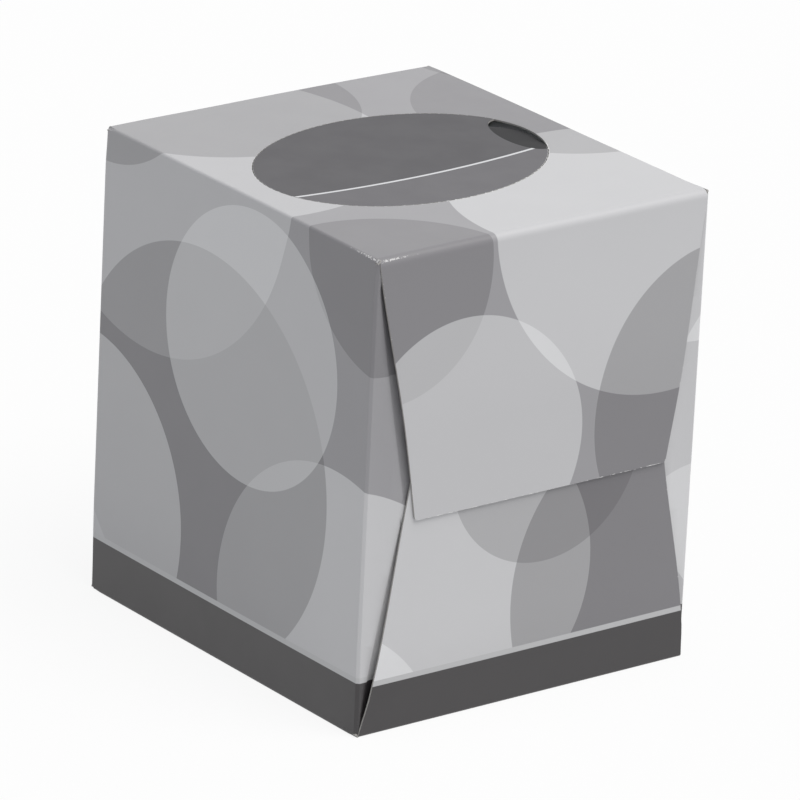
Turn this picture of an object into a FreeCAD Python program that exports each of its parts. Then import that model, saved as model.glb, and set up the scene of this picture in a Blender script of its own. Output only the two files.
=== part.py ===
import FreeCAD, Part
import math
import os

# A cube carton of facial tissues. The carton is one folded sheet of board.
# Its four panels wrap round the Y axis, and both ends close with glued flaps.
# X runs along the flap end that is seen, Y from that end to the back, Z up.
# The origin is the middle of the face that the carton stands on.

# Overall size of the closed carton
WIDTH = 103.0
DEPTH = 115.0
HEIGHT = 126.0

# Board and hot-melt glue
BOARD = 0.45
GLUE = 0.15
LAYER = BOARD + GLUE

# Outer radii of the folds
LONG_FOLD = 0.9
TOP_FLAP_FOLD = 2.0
BOTTOM_FLAP_FOLD = 1.1
DUST_FLAP_FOLD = 2.5

# End flaps: how far the bottom flap reaches up, the top flap laps it and the dust flaps stay apart,
# and how far each edge tapers in
BOTTOM_FLAP_LENGTH = 74.0
BOTTOM_FLAP_TAPER = 0.175
FLAP_LAP = 18.5
TOP_FLAP_TAPER = 0.166
DUST_FLAP_GAP = 17.0
DUST_FLAP_TAPER = 0.14
FLAP_CORNER = 1.2
DUST_FLAP_CORNER = 6.0

# Glue seam inside the bottom panel
SEAM_WIDTH = 14.0
SEAM_TAPER = 5.0
SEAM_EDGE_INSET = 0.25
SEAM_GLUE_WIDTH = 6.0
SEAM_GLUE_END = 12.0

# Perforated oval in the top panel, a margin in from the sides
OVAL_Y = 1.0
OVAL_SIDE_MARGIN = 10.3
OVAL_HALF_WIDTH = 30.2
SLOT_LENGTH = 1.8
SLOT_WIDTH = 0.25
NICK = 0.6

# Thumb tab at the oval's +X end: cut free along the rim, creased along a half ellipse, pressed in
TAB_HALF_ANGLE = 25.0
TAB_CREASE_BULGE = 4.1
TAB_CUT_ANGLE = 47.0
TAB_CUT_GAP = 0.2
TAB_EDGE_SPAN = 0.97
TAB_DIP = 0.5
TAB_DIP_SHARE = 0.33
TAB_TIP_DIP = 2.1
TAB_TIP_SHARE = 0.35
TAB_EDGE_POINTS = 9

# Window film glued under the top panel, dished clear of the thumb tab
FILM = 0.1
FILM_MARGIN = 5.5
FILM_LIP = 3.0
FILM_TAB_CLEARANCE = 1.3
FILM_WALL_RUN = 2.5
FILM_SLIT_LENGTH = 56.0
FILM_SLIT_WIDTH = 0.5

# Clip of interfolded tissues, bent over into an arch
STACK_SIDE_CLEARANCE = 1.5
STACK_END_CLEARANCE = 1.8
STACK_TOP_CLEARANCE = 0.3
STACK_SEAM_CLEARANCE = 0.2
STACK_SHOULDER = 20.0
STACK_FOOT = 2.5
STACK_PARTING = 0.8
STACK_PARTING_HEIGHT = 72.0

# Hot-melt dabs between the end flaps, set in from the sides and out from the bottom flap's edge
DAB_LENGTH = 16.0
DAB_WIDTH = 5.0
DAB_SIDE_INSET = 27.5
DAB_LOW_Z = 30.0
DAB_LAP_INSET = 11.0
DAB_HIGH_RISE = 22.0

# Planes that several pieces share
SIDE = WIDTH / 2
END = DEPTH / 2
TOP_FLAP_FACE = END
BOTTOM_FLAP_FACE = END - LAYER
DUST_FLAP_FACE = END - 2 * LAYER
PANEL_EDGE = SIDE - LONG_FOLD
SIDE_PANEL_END = DUST_FLAP_FACE - DUST_FLAP_FOLD
SEAM_FLOOR = LAYER
TOP_INSIDE = HEIGHT - BOARD
TOP_FLAP_LENGTH = HEIGHT - BOTTOM_FLAP_LENGTH + FLAP_LAP
DUST_FLAP_LENGTH = SIDE - DUST_FLAP_GAP / 2
OVAL_HALF_LENGTH = SIDE - OVAL_SIDE_MARGIN
FILM_BOTTOM = TOP_INSIDE - TAB_TIP_DIP - FILM_TAB_CLEARANCE - FILM
DAB_X = SIDE - DAB_SIDE_INSET
DAB_LAP_Z = BOTTOM_FLAP_LENGTH - DAB_LAP_INSET
DAB_HIGH_Z = BOTTOM_FLAP_LENGTH + DAB_HIGH_RISE


def vec(x, y, z):
    return FreeCAD.Vector(x, y, z)


def face_of(points):
    """Flat face through corner points given in order."""
    return Part.Face(Part.makePolygon(points + points[:1]))


def box(x0, x1, y0, y1, z0, z1):
    return Part.makeBox(x1 - x0, y1 - y0, z1 - z0, vec(x0, y0, z0))


def rounded_corner(before, corner, after, radius):
    """Start, middle and end of the arc that rounds one corner. A radius of 0 keeps it sharp."""
    back = (before - corner).normalize()
    ahead = (after - corner).normalize()
    half = back.getAngle(ahead) / 2
    reach = radius / math.tan(half)
    depth = radius / math.sin(half) - radius
    return corner + back * reach, corner + (back + ahead).normalize() * depth, corner + ahead * reach


def rounded_outline(corners, radii):
    """Wire through flat corner points, each corner rounded by its own radius."""
    count = len(corners)
    arcs = []
    for i in range(count):
        arcs.append(rounded_corner(corners[i - 1], corners[i], corners[(i + 1) % count], radii[i]))
    edges = []
    for i in range(count):
        if radii[i] > 0:
            edges.append(Part.Arc(*arcs[i]).toShape())
        edges.append(Part.LineSegment(arcs[i][2], arcs[(i + 1) % count][0]).toShape())
    return Part.Wire(edges)


def quarter_fold(center, first, second, outer, run):
    """Board bent through a right angle: a quarter ring between two directions, drawn out along run."""
    inner = outer - BOARD
    middle = (first + second).normalize()
    edges = [
        Part.Arc(center + first * outer, center + middle * outer, center + second * outer).toShape(),
        Part.LineSegment(center + second * outer, center + second * inner).toShape(),
        Part.Arc(center + second * inner, center + middle * inner, center + first * inner).toShape(),
        Part.LineSegment(center + first * inner, center + first * outer).toShape(),
    ]
    return Part.Face(Part.Wire(edges)).extrude(run)


def oval_point(angle, inset=0.0):
    """Point of the oval's outline in the top panel's outer face, angle in radians."""
    x = (OVAL_HALF_LENGTH - inset) * math.cos(angle)
    y = OVAL_Y + (OVAL_HALF_WIDTH - inset) * math.sin(angle)
    return vec(x, y, HEIGHT)


def slot_angles():
    """Angles of the slot centres, at one pitch along the oval from tab tip to tab tip."""
    start = math.radians(TAB_HALF_ANGLE)
    rim = Part.Ellipse(vec(0, OVAL_Y, HEIGHT), OVAL_HALF_LENGTH, OVAL_HALF_WIDTH)
    perforated = Part.ArcOfEllipse(rim, start, 2 * math.pi - start).toShape()
    count = round((perforated.Length - NICK) / (SLOT_LENGTH + NICK))
    pitch = (perforated.Length - NICK) / count
    centers = [NICK / 2 + pitch * (k + 0.5) for k in range(count)]
    return [perforated.getParameterByLength(center) for center in centers]


def slot_wire(angle):
    """Outline of one perforation slot, laid along the oval."""
    center = oval_point(angle)
    along = vec(-OVAL_HALF_LENGTH * math.sin(angle), OVAL_HALF_WIDTH * math.cos(angle), 0).normalize()
    across = vec(-along.y, along.x, 0)
    half_length = along * (SLOT_LENGTH / 2)
    half_width = across * (SLOT_WIDTH / 2)
    corners = [
        center - half_length - half_width,
        center + half_length - half_width,
        center + half_length + half_width,
        center - half_length + half_width,
    ]
    return Part.makePolygon(corners + corners[:1])


def crease_ellipse():
    """Ellipse whose -X half is the thumb tab's crease and end cut. Its parameter is 0 at the +Y tip."""
    tip = oval_point(math.radians(TAB_HALF_ANGLE))
    center = vec(tip.x, OVAL_Y, HEIGHT)
    return Part.Ellipse(tip, center - vec(TAB_CREASE_BULGE, 0, 0), center)


def tab_window():
    """Outline of the gap in the top panel that the thumb tab fills."""
    half_angle = math.radians(TAB_HALF_ANGLE)
    cut_angle = math.radians(TAB_CUT_ANGLE)
    rim = Part.Ellipse(vec(0, OVAL_Y, HEIGHT), OVAL_HALF_LENGTH, OVAL_HALF_WIDTH)
    edges = [
        Part.ArcOfEllipse(rim, -half_angle, half_angle).toShape(),
        Part.ArcOfEllipse(crease_ellipse(), 0, cut_angle).toShape(),
        Part.ArcOfEllipse(crease_ellipse(), cut_angle, math.pi).toShape(),
    ]
    return Part.Wire(edges)


def tab_dip(share):
    """How far the tab's free edge is pressed in, from its -Y end (0) to its +Y tip (1)."""
    dip = TAB_DIP * min(1.0, share / TAB_DIP_SHARE)
    tip_share = max(0.0, (share - 1 + TAB_TIP_SHARE) / TAB_TIP_SHARE)
    return dip + (TAB_TIP_DIP - TAB_DIP) * tip_share ** 2


def thumb_tab():
    """The pressed-in tab: board between the crease and a free edge that dips towards its +Y tip."""
    span = math.radians(TAB_HALF_ANGLE) * TAB_EDGE_SPAN
    points = []
    for i in range(TAB_EDGE_POINTS):
        share = i / (TAB_EDGE_POINTS - 1)
        angle = span * (2 * share - 1)
        points.append(oval_point(angle, TAB_CUT_GAP) - vec(0, 0, tab_dip(share)))
    edge = Part.BSplineCurve()
    edge.interpolate(points)
    crease = Part.ArcOfEllipse(crease_ellipse(), math.radians(TAB_CUT_ANGLE), math.pi).toShape()
    crease.reverse()
    top = Part.makeRuledSurface(crease, edge.toShape())
    return top.extrude(vec(0, 0, -BOARD))


def top_panel():
    """Top panel with its perforated oval, and the thumb tab still joined to it along the crease."""
    reach = TOP_FLAP_FACE - TOP_FLAP_FOLD
    corners = [
        vec(-PANEL_EDGE, -reach, HEIGHT),
        vec(PANEL_EDGE, -reach, HEIGHT),
        vec(PANEL_EDGE, reach, HEIGHT),
        vec(-PANEL_EDGE, reach, HEIGHT),
    ]
    holes = [slot_wire(angle) for angle in slot_angles()] + [tab_window()]
    face = Part.makeFace([Part.makePolygon(corners + corners[:1])] + holes, "Part::FaceMakerBullseye")
    return face.extrude(vec(0, 0, -BOARD)).fuse(thumb_tab())


def bottom_panel():
    """Bottom panel. Its +X edge is the raw edge of the sheet, under the glue seam."""
    reach = BOTTOM_FLAP_FACE - BOTTOM_FLAP_FOLD
    return box(-PANEL_EDGE, SIDE - SEAM_EDGE_INSET, -reach, reach, 0, BOARD)


def side_panel(side):
    """Side panel at X = side * SIDE. The +X one stands on the glue seam."""
    foot = LONG_FOLD if side < 0 else SEAM_FLOOR + LONG_FOLD
    inner = side * (SIDE - BOARD)
    outer = side * SIDE
    low, high = min(inner, outer), max(inner, outer)
    return box(low, high, -SIDE_PANEL_END, SIDE_PANEL_END, foot, HEIGHT - LONG_FOLD)


def long_folds():
    """The four folds along Y. The one at +X and the bottom carries the seam flap."""
    run = vec(0, 2 * SIDE_PANEL_END, 0)
    start = -SIDE_PANEL_END
    up, down = vec(0, 0, 1), vec(0, 0, -1)
    left, right = vec(-1, 0, 0), vec(1, 0, 0)
    return [
        quarter_fold(vec(-PANEL_EDGE, start, HEIGHT - LONG_FOLD), left, up, LONG_FOLD, run),
        quarter_fold(vec(PANEL_EDGE, start, HEIGHT - LONG_FOLD), right, up, LONG_FOLD, run),
        quarter_fold(vec(-PANEL_EDGE, start, LONG_FOLD), left, down, LONG_FOLD, run),
        quarter_fold(vec(PANEL_EDGE, start, SEAM_FLOOR + LONG_FOLD), right, down, LONG_FOLD, run),
    ]


def seam_flap():
    """Seam flap, glued down on the inside of the bottom panel, with tapered ends."""
    inner = SIDE - SEAM_WIDTH
    corners = [
        vec(PANEL_EDGE, -SIDE_PANEL_END, SEAM_FLOOR),
        vec(PANEL_EDGE, SIDE_PANEL_END, SEAM_FLOOR),
        vec(inner, SIDE_PANEL_END - SEAM_TAPER, SEAM_FLOOR),
        vec(inner, -SIDE_PANEL_END + SEAM_TAPER, SEAM_FLOOR),
    ]
    return face_of(corners).extrude(vec(0, 0, BOARD))


def end_flap(end, face, fold, length, taper, from_top, right_edge):
    """Top or bottom flap with its fold, at Y = end * face. The flap narrows away from the fold."""
    root_z = HEIGHT - fold if from_top else fold
    tip_z = HEIGHT - length if from_top else length
    lean = taper * abs(tip_z - root_z)
    corners = [
        vec(-PANEL_EDGE, end * face, root_z),
        vec(-PANEL_EDGE + lean, end * face, tip_z),
        vec(right_edge - lean, end * face, tip_z),
        vec(right_edge, end * face, root_z),
    ]
    outline = rounded_outline(corners, [0, FLAP_CORNER, FLAP_CORNER, 0])
    plate = Part.Face(outline).extrude(vec(0, -end * BOARD, 0))
    upright = vec(0, 0, 1 if from_top else -1)
    center = vec(-PANEL_EDGE, end * (face - fold), root_z)
    bend = quarter_fold(center, upright, vec(0, end, 0), fold, vec(PANEL_EDGE + right_edge, 0, 0))
    return [plate, bend]


def dust_flap(side, end):
    """Dust flap folded in from a side panel, under the bottom and top flaps."""
    foot = LONG_FOLD if side < 0 else SEAM_FLOOR + LONG_FOLD
    head = HEIGHT - LONG_FOLD
    root = SIDE - DUST_FLAP_FOLD
    tip = SIDE - DUST_FLAP_LENGTH
    lean = DUST_FLAP_TAPER * (root - tip)
    y = end * DUST_FLAP_FACE
    corners = [
        vec(side * root, y, foot),
        vec(side * root, y, head),
        vec(side * tip, y, head - lean),
        vec(side * tip, y, foot + lean),
    ]
    outline = rounded_outline(corners, [0, 0, DUST_FLAP_CORNER, DUST_FLAP_CORNER])
    plate = Part.Face(outline).extrude(vec(0, -end * BOARD, 0))
    center = vec(side * root, end * SIDE_PANEL_END, foot)
    bend = quarter_fold(center, vec(side, 0, 0), vec(0, end, 0), DUST_FLAP_FOLD, vec(0, 0, head - foot))
    return [plate, bend]


def carton():
    """The whole sheet, folded up: every panel, fold and flap is one piece of board."""
    pieces = [bottom_panel(), side_panel(-1), side_panel(1), seam_flap()] + long_folds()
    for end in (-1, 1):
        pieces += end_flap(end, TOP_FLAP_FACE, TOP_FLAP_FOLD, TOP_FLAP_LENGTH, TOP_FLAP_TAPER,
                           True, PANEL_EDGE)
        pieces += end_flap(end, BOTTOM_FLAP_FACE, BOTTOM_FLAP_FOLD, BOTTOM_FLAP_LENGTH,
                           BOTTOM_FLAP_TAPER, False, SIDE - SEAM_EDGE_INSET)
        for side in (-1, 1):
            pieces += dust_flap(side, end)
    return top_panel().multiFuse(pieces)


def oval_solid(grow, low, high, grow_low):
    """Solid between two ovals: the upper one grown by grow, the lower one by grow_low."""
    wires = []
    for z, extra in ((high, grow), (low, grow_low)):
        oval = Part.Ellipse(vec(0, OVAL_Y, z), OVAL_HALF_LENGTH + extra, OVAL_HALF_WIDTH + extra)
        wires.append(Part.Wire(oval.toShape()))
    return Part.makeLoft(wires, True, True)


def window_film():
    """Clear film glued round the oval from inside, dished, with the slit that holds the next tissue."""
    half_x = OVAL_HALF_LENGTH + FILM_MARGIN
    half_y = OVAL_HALF_WIDTH + FILM_MARGIN
    frame = box(-half_x, half_x, OVAL_Y - half_y, OVAL_Y + half_y, TOP_INSIDE - FILM, TOP_INSIDE)
    wall_foot = FILM_LIP - FILM_WALL_RUN
    outer = oval_solid(FILM_LIP, FILM_BOTTOM, TOP_INSIDE - FILM, wall_foot)
    dish = oval_solid(FILM_LIP, FILM_BOTTOM + FILM, TOP_INSIDE, wall_foot)
    slit_half = FILM_SLIT_LENGTH / 2
    slit = box(-slit_half, slit_half, OVAL_Y - FILM_SLIT_WIDTH / 2, OVAL_Y + FILM_SLIT_WIDTH / 2,
               FILM_BOTTOM - FILM, TOP_INSIDE)
    return frame.fuse(outer).cut(dish).cut(slit)


def tissue_stack():
    """The tissues, one soft block: an arch whose two legs meet at a parting under the opening."""
    half_x = SIDE - BOARD - STACK_SIDE_CLEARANCE
    half_y = DUST_FLAP_FACE - BOARD - STACK_END_CLEARANCE
    top = FILM_BOTTOM - STACK_TOP_CLEARANCE
    corners = [
        vec(-half_x, -half_y, BOARD),
        vec(-half_x, -half_y, top),
        vec(half_x, -half_y, top),
        vec(half_x, -half_y, BOARD),
    ]
    outline = rounded_outline(corners, [STACK_FOOT, STACK_SHOULDER, STACK_SHOULDER, STACK_FOOT])
    block = Part.Face(outline).extrude(vec(0, 2 * half_y, 0))
    parting = box(-STACK_PARTING / 2, STACK_PARTING / 2, -half_y, half_y, BOARD, STACK_PARTING_HEIGHT)
    step_top = SEAM_FLOOR + BOARD + STACK_SEAM_CLEARANCE
    seam_step = box(SIDE - SEAM_WIDTH - STACK_SEAM_CLEARANCE, SIDE, -half_y, half_y, 0, step_top)
    return block.cut(parting).cut(seam_step)


def dab(x, z, outer_face, inner_face, end):
    """One dab of hot melt between two flap layers, pressed flat."""
    low = min(end * outer_face, end * inner_face)
    high = max(end * outer_face, end * inner_face)
    half_x = DAB_LENGTH / 2
    half_z = DAB_WIDTH / 2
    return box(x - half_x, x + half_x, low, high, z - half_z, z + half_z)


def flap_glue():
    """Hot-melt dabs that hold both ends shut, each a separate solid."""
    dabs = []
    for end in (-1, 1):
        for x in (-DAB_X, DAB_X):
            dabs.append(dab(x, DAB_LOW_Z, BOTTOM_FLAP_FACE - BOARD, DUST_FLAP_FACE, end))
            dabs.append(dab(x, DAB_LAP_Z, TOP_FLAP_FACE - BOARD, BOTTOM_FLAP_FACE, end))
            dabs.append(dab(x, DAB_HIGH_Z, TOP_FLAP_FACE - BOARD, DUST_FLAP_FACE, end))
    return Part.makeCompound(dabs)


def seam_glue():
    """Line of glue that closes the tube of the carton, between seam flap and bottom panel."""
    middle = SIDE - SEAM_WIDTH / 2
    half = SEAM_GLUE_WIDTH / 2
    reach = SIDE_PANEL_END - SEAM_GLUE_END
    return box(middle - half, middle + half, -reach, reach, BOARD, SEAM_FLOOR)


def main():
    os.makedirs("parts", exist_ok=True)
    nodes = {
        "carton": carton,
        "window_film": window_film,
        "tissue_stack": tissue_stack,
        "flap_glue": flap_glue,
        "seam_glue": seam_glue,
    }
    for name, make in nodes.items():
        shape = make()
        box_of = shape.BoundBox
        print(f"{name}: {len(shape.Solids)} solid(s), {len(shape.Faces)} faces, valid {shape.isValid()}, "
              f"volume {shape.Volume:.1f} mm3, X {box_of.XMin:.2f}..{box_of.XMax:.2f}, "
              f"Y {box_of.YMin:.2f}..{box_of.YMax:.2f}, Z {box_of.ZMin:.2f}..{box_of.ZMax:.2f}")
        shape.exportStep(f"parts/{name}.step")


main()
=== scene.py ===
"""Looks of a cube carton of facial tissues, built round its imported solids.

Sizes in the classes are millimetres. Meshes, lamps and the camera are in metres.
"""
import logging
import math
from dataclasses import dataclass, field
from enum import Enum
from itertools import product
from typing import Sequence

import bmesh
import bpy
import numpy as np
from mathutils import Matrix, Vector
from mathutils.geometry import delaunay_2d_cdt


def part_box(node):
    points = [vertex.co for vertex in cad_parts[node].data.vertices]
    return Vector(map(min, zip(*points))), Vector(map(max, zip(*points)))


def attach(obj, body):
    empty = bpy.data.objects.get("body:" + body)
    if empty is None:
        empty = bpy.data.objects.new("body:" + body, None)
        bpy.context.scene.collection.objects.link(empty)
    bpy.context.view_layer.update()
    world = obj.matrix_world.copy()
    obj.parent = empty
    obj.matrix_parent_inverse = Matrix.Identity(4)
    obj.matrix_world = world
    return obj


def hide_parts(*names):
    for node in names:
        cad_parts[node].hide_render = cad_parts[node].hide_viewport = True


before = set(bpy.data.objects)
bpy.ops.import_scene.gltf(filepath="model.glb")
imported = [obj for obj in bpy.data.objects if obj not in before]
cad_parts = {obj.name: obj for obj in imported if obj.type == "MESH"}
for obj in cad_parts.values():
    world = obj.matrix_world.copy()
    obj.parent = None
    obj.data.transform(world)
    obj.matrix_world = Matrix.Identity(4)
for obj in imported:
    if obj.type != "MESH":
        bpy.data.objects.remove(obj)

LOG = logging.getLogger("tissue_carton")
MM = 0.001
BODY = "root"
RIGHT_ANGLE = math.pi / 2
FULL_TURN = 2 * math.pi
NO_LENGTH = 1e-12
WELD = 1e-4
FAR = 1e9
INK_EDGE = 0.05
BAND_EDGE = 0.08
DISC_EDGE = 0.06
WHITE = (1.0, 1.0, 1.0, 1.0)
BLANK_MAP = "blank"
Points = np.ndarray
NodeTree = bpy.types.NodeTree
Socket = bpy.types.NodeSocket


# ---- Small geometry helpers


def smooth(x: Points) -> Points:
    """Smooth step from 0 to 1 as x goes from 0 to 1."""
    x = np.clip(x, 0.0, 1.0)
    return x * x * (3.0 - 2.0 * x)


def rise(x: Points, ramp: tuple[float, float]) -> Points:
    """Smooth step from 0 to 1, for a ramp given as its start and its length."""
    return smooth((x - ramp[0]) / ramp[1])


def closed(points: Points) -> Points:
    """The loop's points with the first one repeated at the end."""
    return np.vstack([points, points[:1]])


def spread(points: Points, spacing: float) -> Points:
    """Adds points along a polyline so that no step is longer than a spacing.

    Args:
        points: corners of the polyline, in order.
        spacing: the longest step allowed.

    Returns:
        The corners with the added points between them.
    """
    out = [points[0]]
    for start, end in zip(points[:-1], points[1:]):
        count = max(1, math.ceil(float(np.linalg.norm(end - start)) / spacing - 1e-6))
        out += [start + (end - start) * (k / count) for k in range(1, count + 1)]
    return np.array(out)


def rounded(before: Points, corner: Points, after: Points, radius: float, steps: int = 5) -> Points:
    """Points of the arc that rounds one corner of a flat outline.

    Args:
        before: corner before it.
        corner: the corner to round.
        after: corner after it.
        radius: radius of the arc.
        steps: number of chords.

    Returns:
        Points along the arc.
    """
    back = (before - corner) / np.linalg.norm(before - corner)
    ahead = (after - corner) / np.linalg.norm(after - corner)
    half = math.acos(float(np.clip(back @ ahead, -1.0, 1.0))) / 2
    middle = (back + ahead) / np.linalg.norm(back + ahead)
    center = corner + middle * (radius / math.sin(half))
    first = corner + back * (radius / math.tan(half)) - center
    last = corner + ahead * (radius / math.tan(half)) - center
    sweep = math.pi - 2 * half
    share = np.linspace(0.0, 1.0, steps + 1)[:, None]
    return center + (np.sin((1 - share) * sweep) * first + np.sin(share * sweep) * last) / math.sin(sweep)


def inside(points: Points, loop: Points) -> Points:
    """Which points lie inside a closed flat loop.

    Args:
        points: the points to test.
        loop: corners of the loop.

    Returns:
        True for each point inside.
    """
    x, y = points[:, 0:1], points[:, 1:2]
    a, b = loop, np.roll(loop, -1, axis=0)
    spans = (a[:, 1] > y) != (b[:, 1] > y)
    height = np.where(np.abs(b[:, 1] - a[:, 1]) < NO_LENGTH, NO_LENGTH, b[:, 1] - a[:, 1])
    cross = a[:, 0] + (y - a[:, 1]) / height * (b[:, 0] - a[:, 0])
    return (np.sum(spans & (x < cross), axis=1) % 2).astype(bool)


def distance_to(points: Points, lines: Sequence[Points]) -> Points:
    """Distance from each point to the nearest of several polylines.

    Args:
        points: the points to measure from.
        lines: polylines.

    Returns:
        One distance for each point.
    """
    best = np.full(len(points), FAR)
    for line in lines:
        for a, b in zip(line[:-1], line[1:]):
            way = b - a
            share = np.clip((points - a) @ way / max(float(way @ way), NO_LENGTH), 0.0, 1.0)
            best = np.minimum(best, np.linalg.norm(points - a - share[:, None] * way, axis=1))
    return best


def lattice(x: tuple[float, float], y: tuple[float, float], spacing: float) -> Points:
    """Points of a staggered lattice inside a rectangle.

    Args:
        x: lowest and highest value along the first axis.
        y: the same along the second axis.
        spacing: distance between neighbours.

    Returns:
        The points.
    """
    columns = np.arange(x[0] + spacing / 2, x[1], spacing)
    rows = np.arange(y[0] + spacing / 2, y[1], spacing)
    grid = np.array([(c + (k % 2) * spacing / 3, r) for k, r in enumerate(rows) for c in columns])
    return grid.reshape(-1, 2)


@dataclass(frozen=True)
class Path:
    """A flat path of straight stretches and arcs, walked by distance.

    Attributes:
        steps: (length, turn in radians) of each stretch, in order.
        start: point where the walk starts.
        heading: direction of the first stretch, in radians.
    """

    steps: tuple[tuple[float, float], ...]
    start: tuple[float, float] = (0.0, 0.0)
    heading: float = 0.0

    @property
    def length(self) -> float:
        """Total length of the stretches."""
        return sum(length for length, _ in self.steps)

    def stations(self, per_bend: int, guard: float) -> list[float]:
        """Distances where a mesh needs a line: each bend's ends and middle lines, and guards beside it.

        Args:
            per_bend: number of steps through each bend.
            guard: how far beside a bend the extra line lies.

        Returns:
            Distances from the start, in order.
        """
        found, at = [], 0.0
        for length, turn in self.steps:
            if turn:
                found += [at + length * k / per_bend for k in range(per_bend + 1)]
                found += [at - guard, at + length + guard]
            at += length
        return sorted(set(round(x, 5) for x in found))

    def at(self, distance: Points) -> tuple[Points, Points, Points]:
        """Walks the path.

        Args:
            distance: distances from the start. Past the end, the path goes straight on.

        Returns:
            Both coordinates and the heading at each distance.
        """
        a = np.full(distance.shape, self.start[0])
        b = np.full(distance.shape, self.start[1])
        heading = np.full(distance.shape, self.heading)
        done = 0.0
        for length, turn in self.steps + ((FAR, 0.0),):
            run = np.clip(distance - done, 0.0, length)
            if turn:
                radius = length / turn
                after = heading + run / radius
                a = a + radius * (np.sin(after) - np.sin(heading))
                b = b + radius * (np.cos(heading) - np.cos(after))
                heading = after
            else:
                a = a + run * np.cos(heading)
                b = b + run * np.sin(heading)
            done += length
        return a, b, heading


def round_fold(radius: float) -> Path:
    """A fold that turns evenly, at one outer radius."""
    return Path(((radius * RIGHT_ANGLE, RIGHT_ANGLE),))


def double_fold(size: float, bend: float, facet: float) -> Path:
    """A wide score: two half turns with a narrow facet between them, in a square of a given size.

    Args:
        size: side of the square.
        bend: outer radius of each half turn.
        facet: width of the facet.

    Returns:
        The path through the fold.
    """
    lead = size - bend - facet * math.sqrt(0.5)
    half = (bend * RIGHT_ANGLE / 2, RIGHT_ANGLE / 2)
    return Path(((lead, 0.0), half, (facet, 0.0), half, (lead, 0.0)))


# ---- Shader node helpers


@dataclass
class Graph:
    """Adds and links nodes in one node tree."""

    tree: NodeTree

    def node(self, kind: str, **settings: object) -> bpy.types.Node:
        """A new node with some of its properties set.

        Args:
            kind: type of the node.
            settings: properties and their values.

        Returns:
            The node.
        """
        made = self.tree.nodes.new(kind)
        for name, value in settings.items():
            setattr(made, name, value)
        return made

    def put(self, target: Socket, value: object) -> None:
        """Feeds a socket from another socket, or sets its value.

        Args:
            target: the socket to feed.
            value: a socket, a plain value, or None to leave it.
        """
        if isinstance(value, Socket):
            self.tree.links.new(value, target)
        elif value is not None:
            target.default_value = value

    def math(self, operation: str, first: object, second: object = None, third: object = None) -> Socket:
        """Result of a Math node.

        Args:
            operation: name of the operation.
            first: first input.
            second: second input.
            third: third input.

        Returns:
            The result.
        """
        made = self.node("ShaderNodeMath", operation=operation)
        for target, value in zip(made.inputs, (first, second, third)):
            self.put(target, value)
        return made.outputs[0]

    def ramp(self, value: object, low: float, high: float, to_low: float = 0.0, to_high: float = 1.0) -> Socket:
        """A smooth step of a value between two limits.

        Args:
            value: what is mapped.
            low: where the step starts.
            high: where it ends.
            to_low: result before the step.
            to_high: result after it.

        Returns:
            The result.
        """
        made = self.node("ShaderNodeMapRange", interpolation_type="SMOOTHSTEP")
        for target, given in zip(made.inputs, (value, low, high, to_low, to_high)):
            self.put(target, given)
        return made.outputs[0]

    def step(self, value: object, half: float) -> Socket:
        """1 where a value is above 0, with an edge that is half wide on either side."""
        return self.ramp(value, -half, half)

    def mix(self, factor: object, first: object, second: object) -> Socket:
        """A colour between two others.

        Args:
            factor: share of the second colour.
            first: first colour.
            second: second colour.

        Returns:
            The mixed colour.
        """
        made = self.node("ShaderNodeMix", data_type="RGBA")
        for target, value in zip((made.inputs[0], made.inputs[6], made.inputs[7]), (factor, first, second)):
            self.put(target, value)
        return made.outputs[2]

    def blend(self, factor: object, first: object, second: object) -> Socket:
        """A number between two others.

        Args:
            factor: share of the second number.
            first: first number.
            second: second number.

        Returns:
            The mixed number.
        """
        made = self.node("ShaderNodeMix", data_type="FLOAT")
        for target, value in zip((made.inputs[0], made.inputs[2], made.inputs[3]), (factor, first, second)):
            self.put(target, value)
        return made.outputs[0]

    def noise(self, vector: object, scale: object, detail: float = 2.0, roughness: float = 0.5) -> Socket:
        """Noise from 0 to 1 at a scale.

        Args:
            vector: place.
            scale: how fine it is.
            detail: number of finer layers.
            roughness: weight of the finer layers.

        Returns:
            The noise.
        """
        made = self.node("ShaderNodeTexNoise")
        for name, value in (("Vector", vector), ("Scale", scale), ("Detail", detail), ("Roughness", roughness)):
            self.put(made.inputs[name], value)
        return made.outputs["Fac"]

    def attribute(self, name: str) -> Socket:
        """A number that the mesh holds at each point."""
        return self.node("ShaderNodeAttribute", attribute_name=name).outputs["Fac"]

    def blank(self) -> Socket:
        """Place on the flat sheet, in millimetres.

        Returns:
            The place, with s and t as its first two numbers.
        """
        flat = self.node("ShaderNodeUVMap", uv_map=BLANK_MAP).outputs[0]
        made = self.node("ShaderNodeVectorMath", operation="SCALE")
        self.put(made.inputs[0], flat)
        made.inputs["Scale"].default_value = 1.0 / MM
        return made.outputs[0]

    def stretched(self, place: Socket, factors: Sequence[float]) -> Socket:
        """A place stretched along its axes.

        Args:
            place: the place.
            factors: factor along each axis.

        Returns:
            The stretched place.
        """
        made = self.node("ShaderNodeVectorMath", operation="MULTIPLY")
        self.put(made.inputs[0], place)
        made.inputs[1].default_value = factors
        return made.outputs[0]

    def object_place(self, stretch: tuple[float, float, float] = (1.0, 1.0, 1.0)) -> Socket:
        """Place on the object in millimetres, stretched along its axes."""
        return self.stretched(self.node("ShaderNodeTexCoord").outputs["Object"], [s / MM for s in stretch])

    def group(self, tree: NodeTree, **values: object) -> bpy.types.Node:
        """A node group with its inputs fed. An underscore in a name stands for a space.

        Args:
            tree: the group.
            values: what feeds each input.

        Returns:
            The group's node.
        """
        made = self.node("ShaderNodeGroup", node_tree=tree)
        for name, value in values.items():
            self.put(made.inputs[name.replace("_", " ")], value)
        return made


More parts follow.
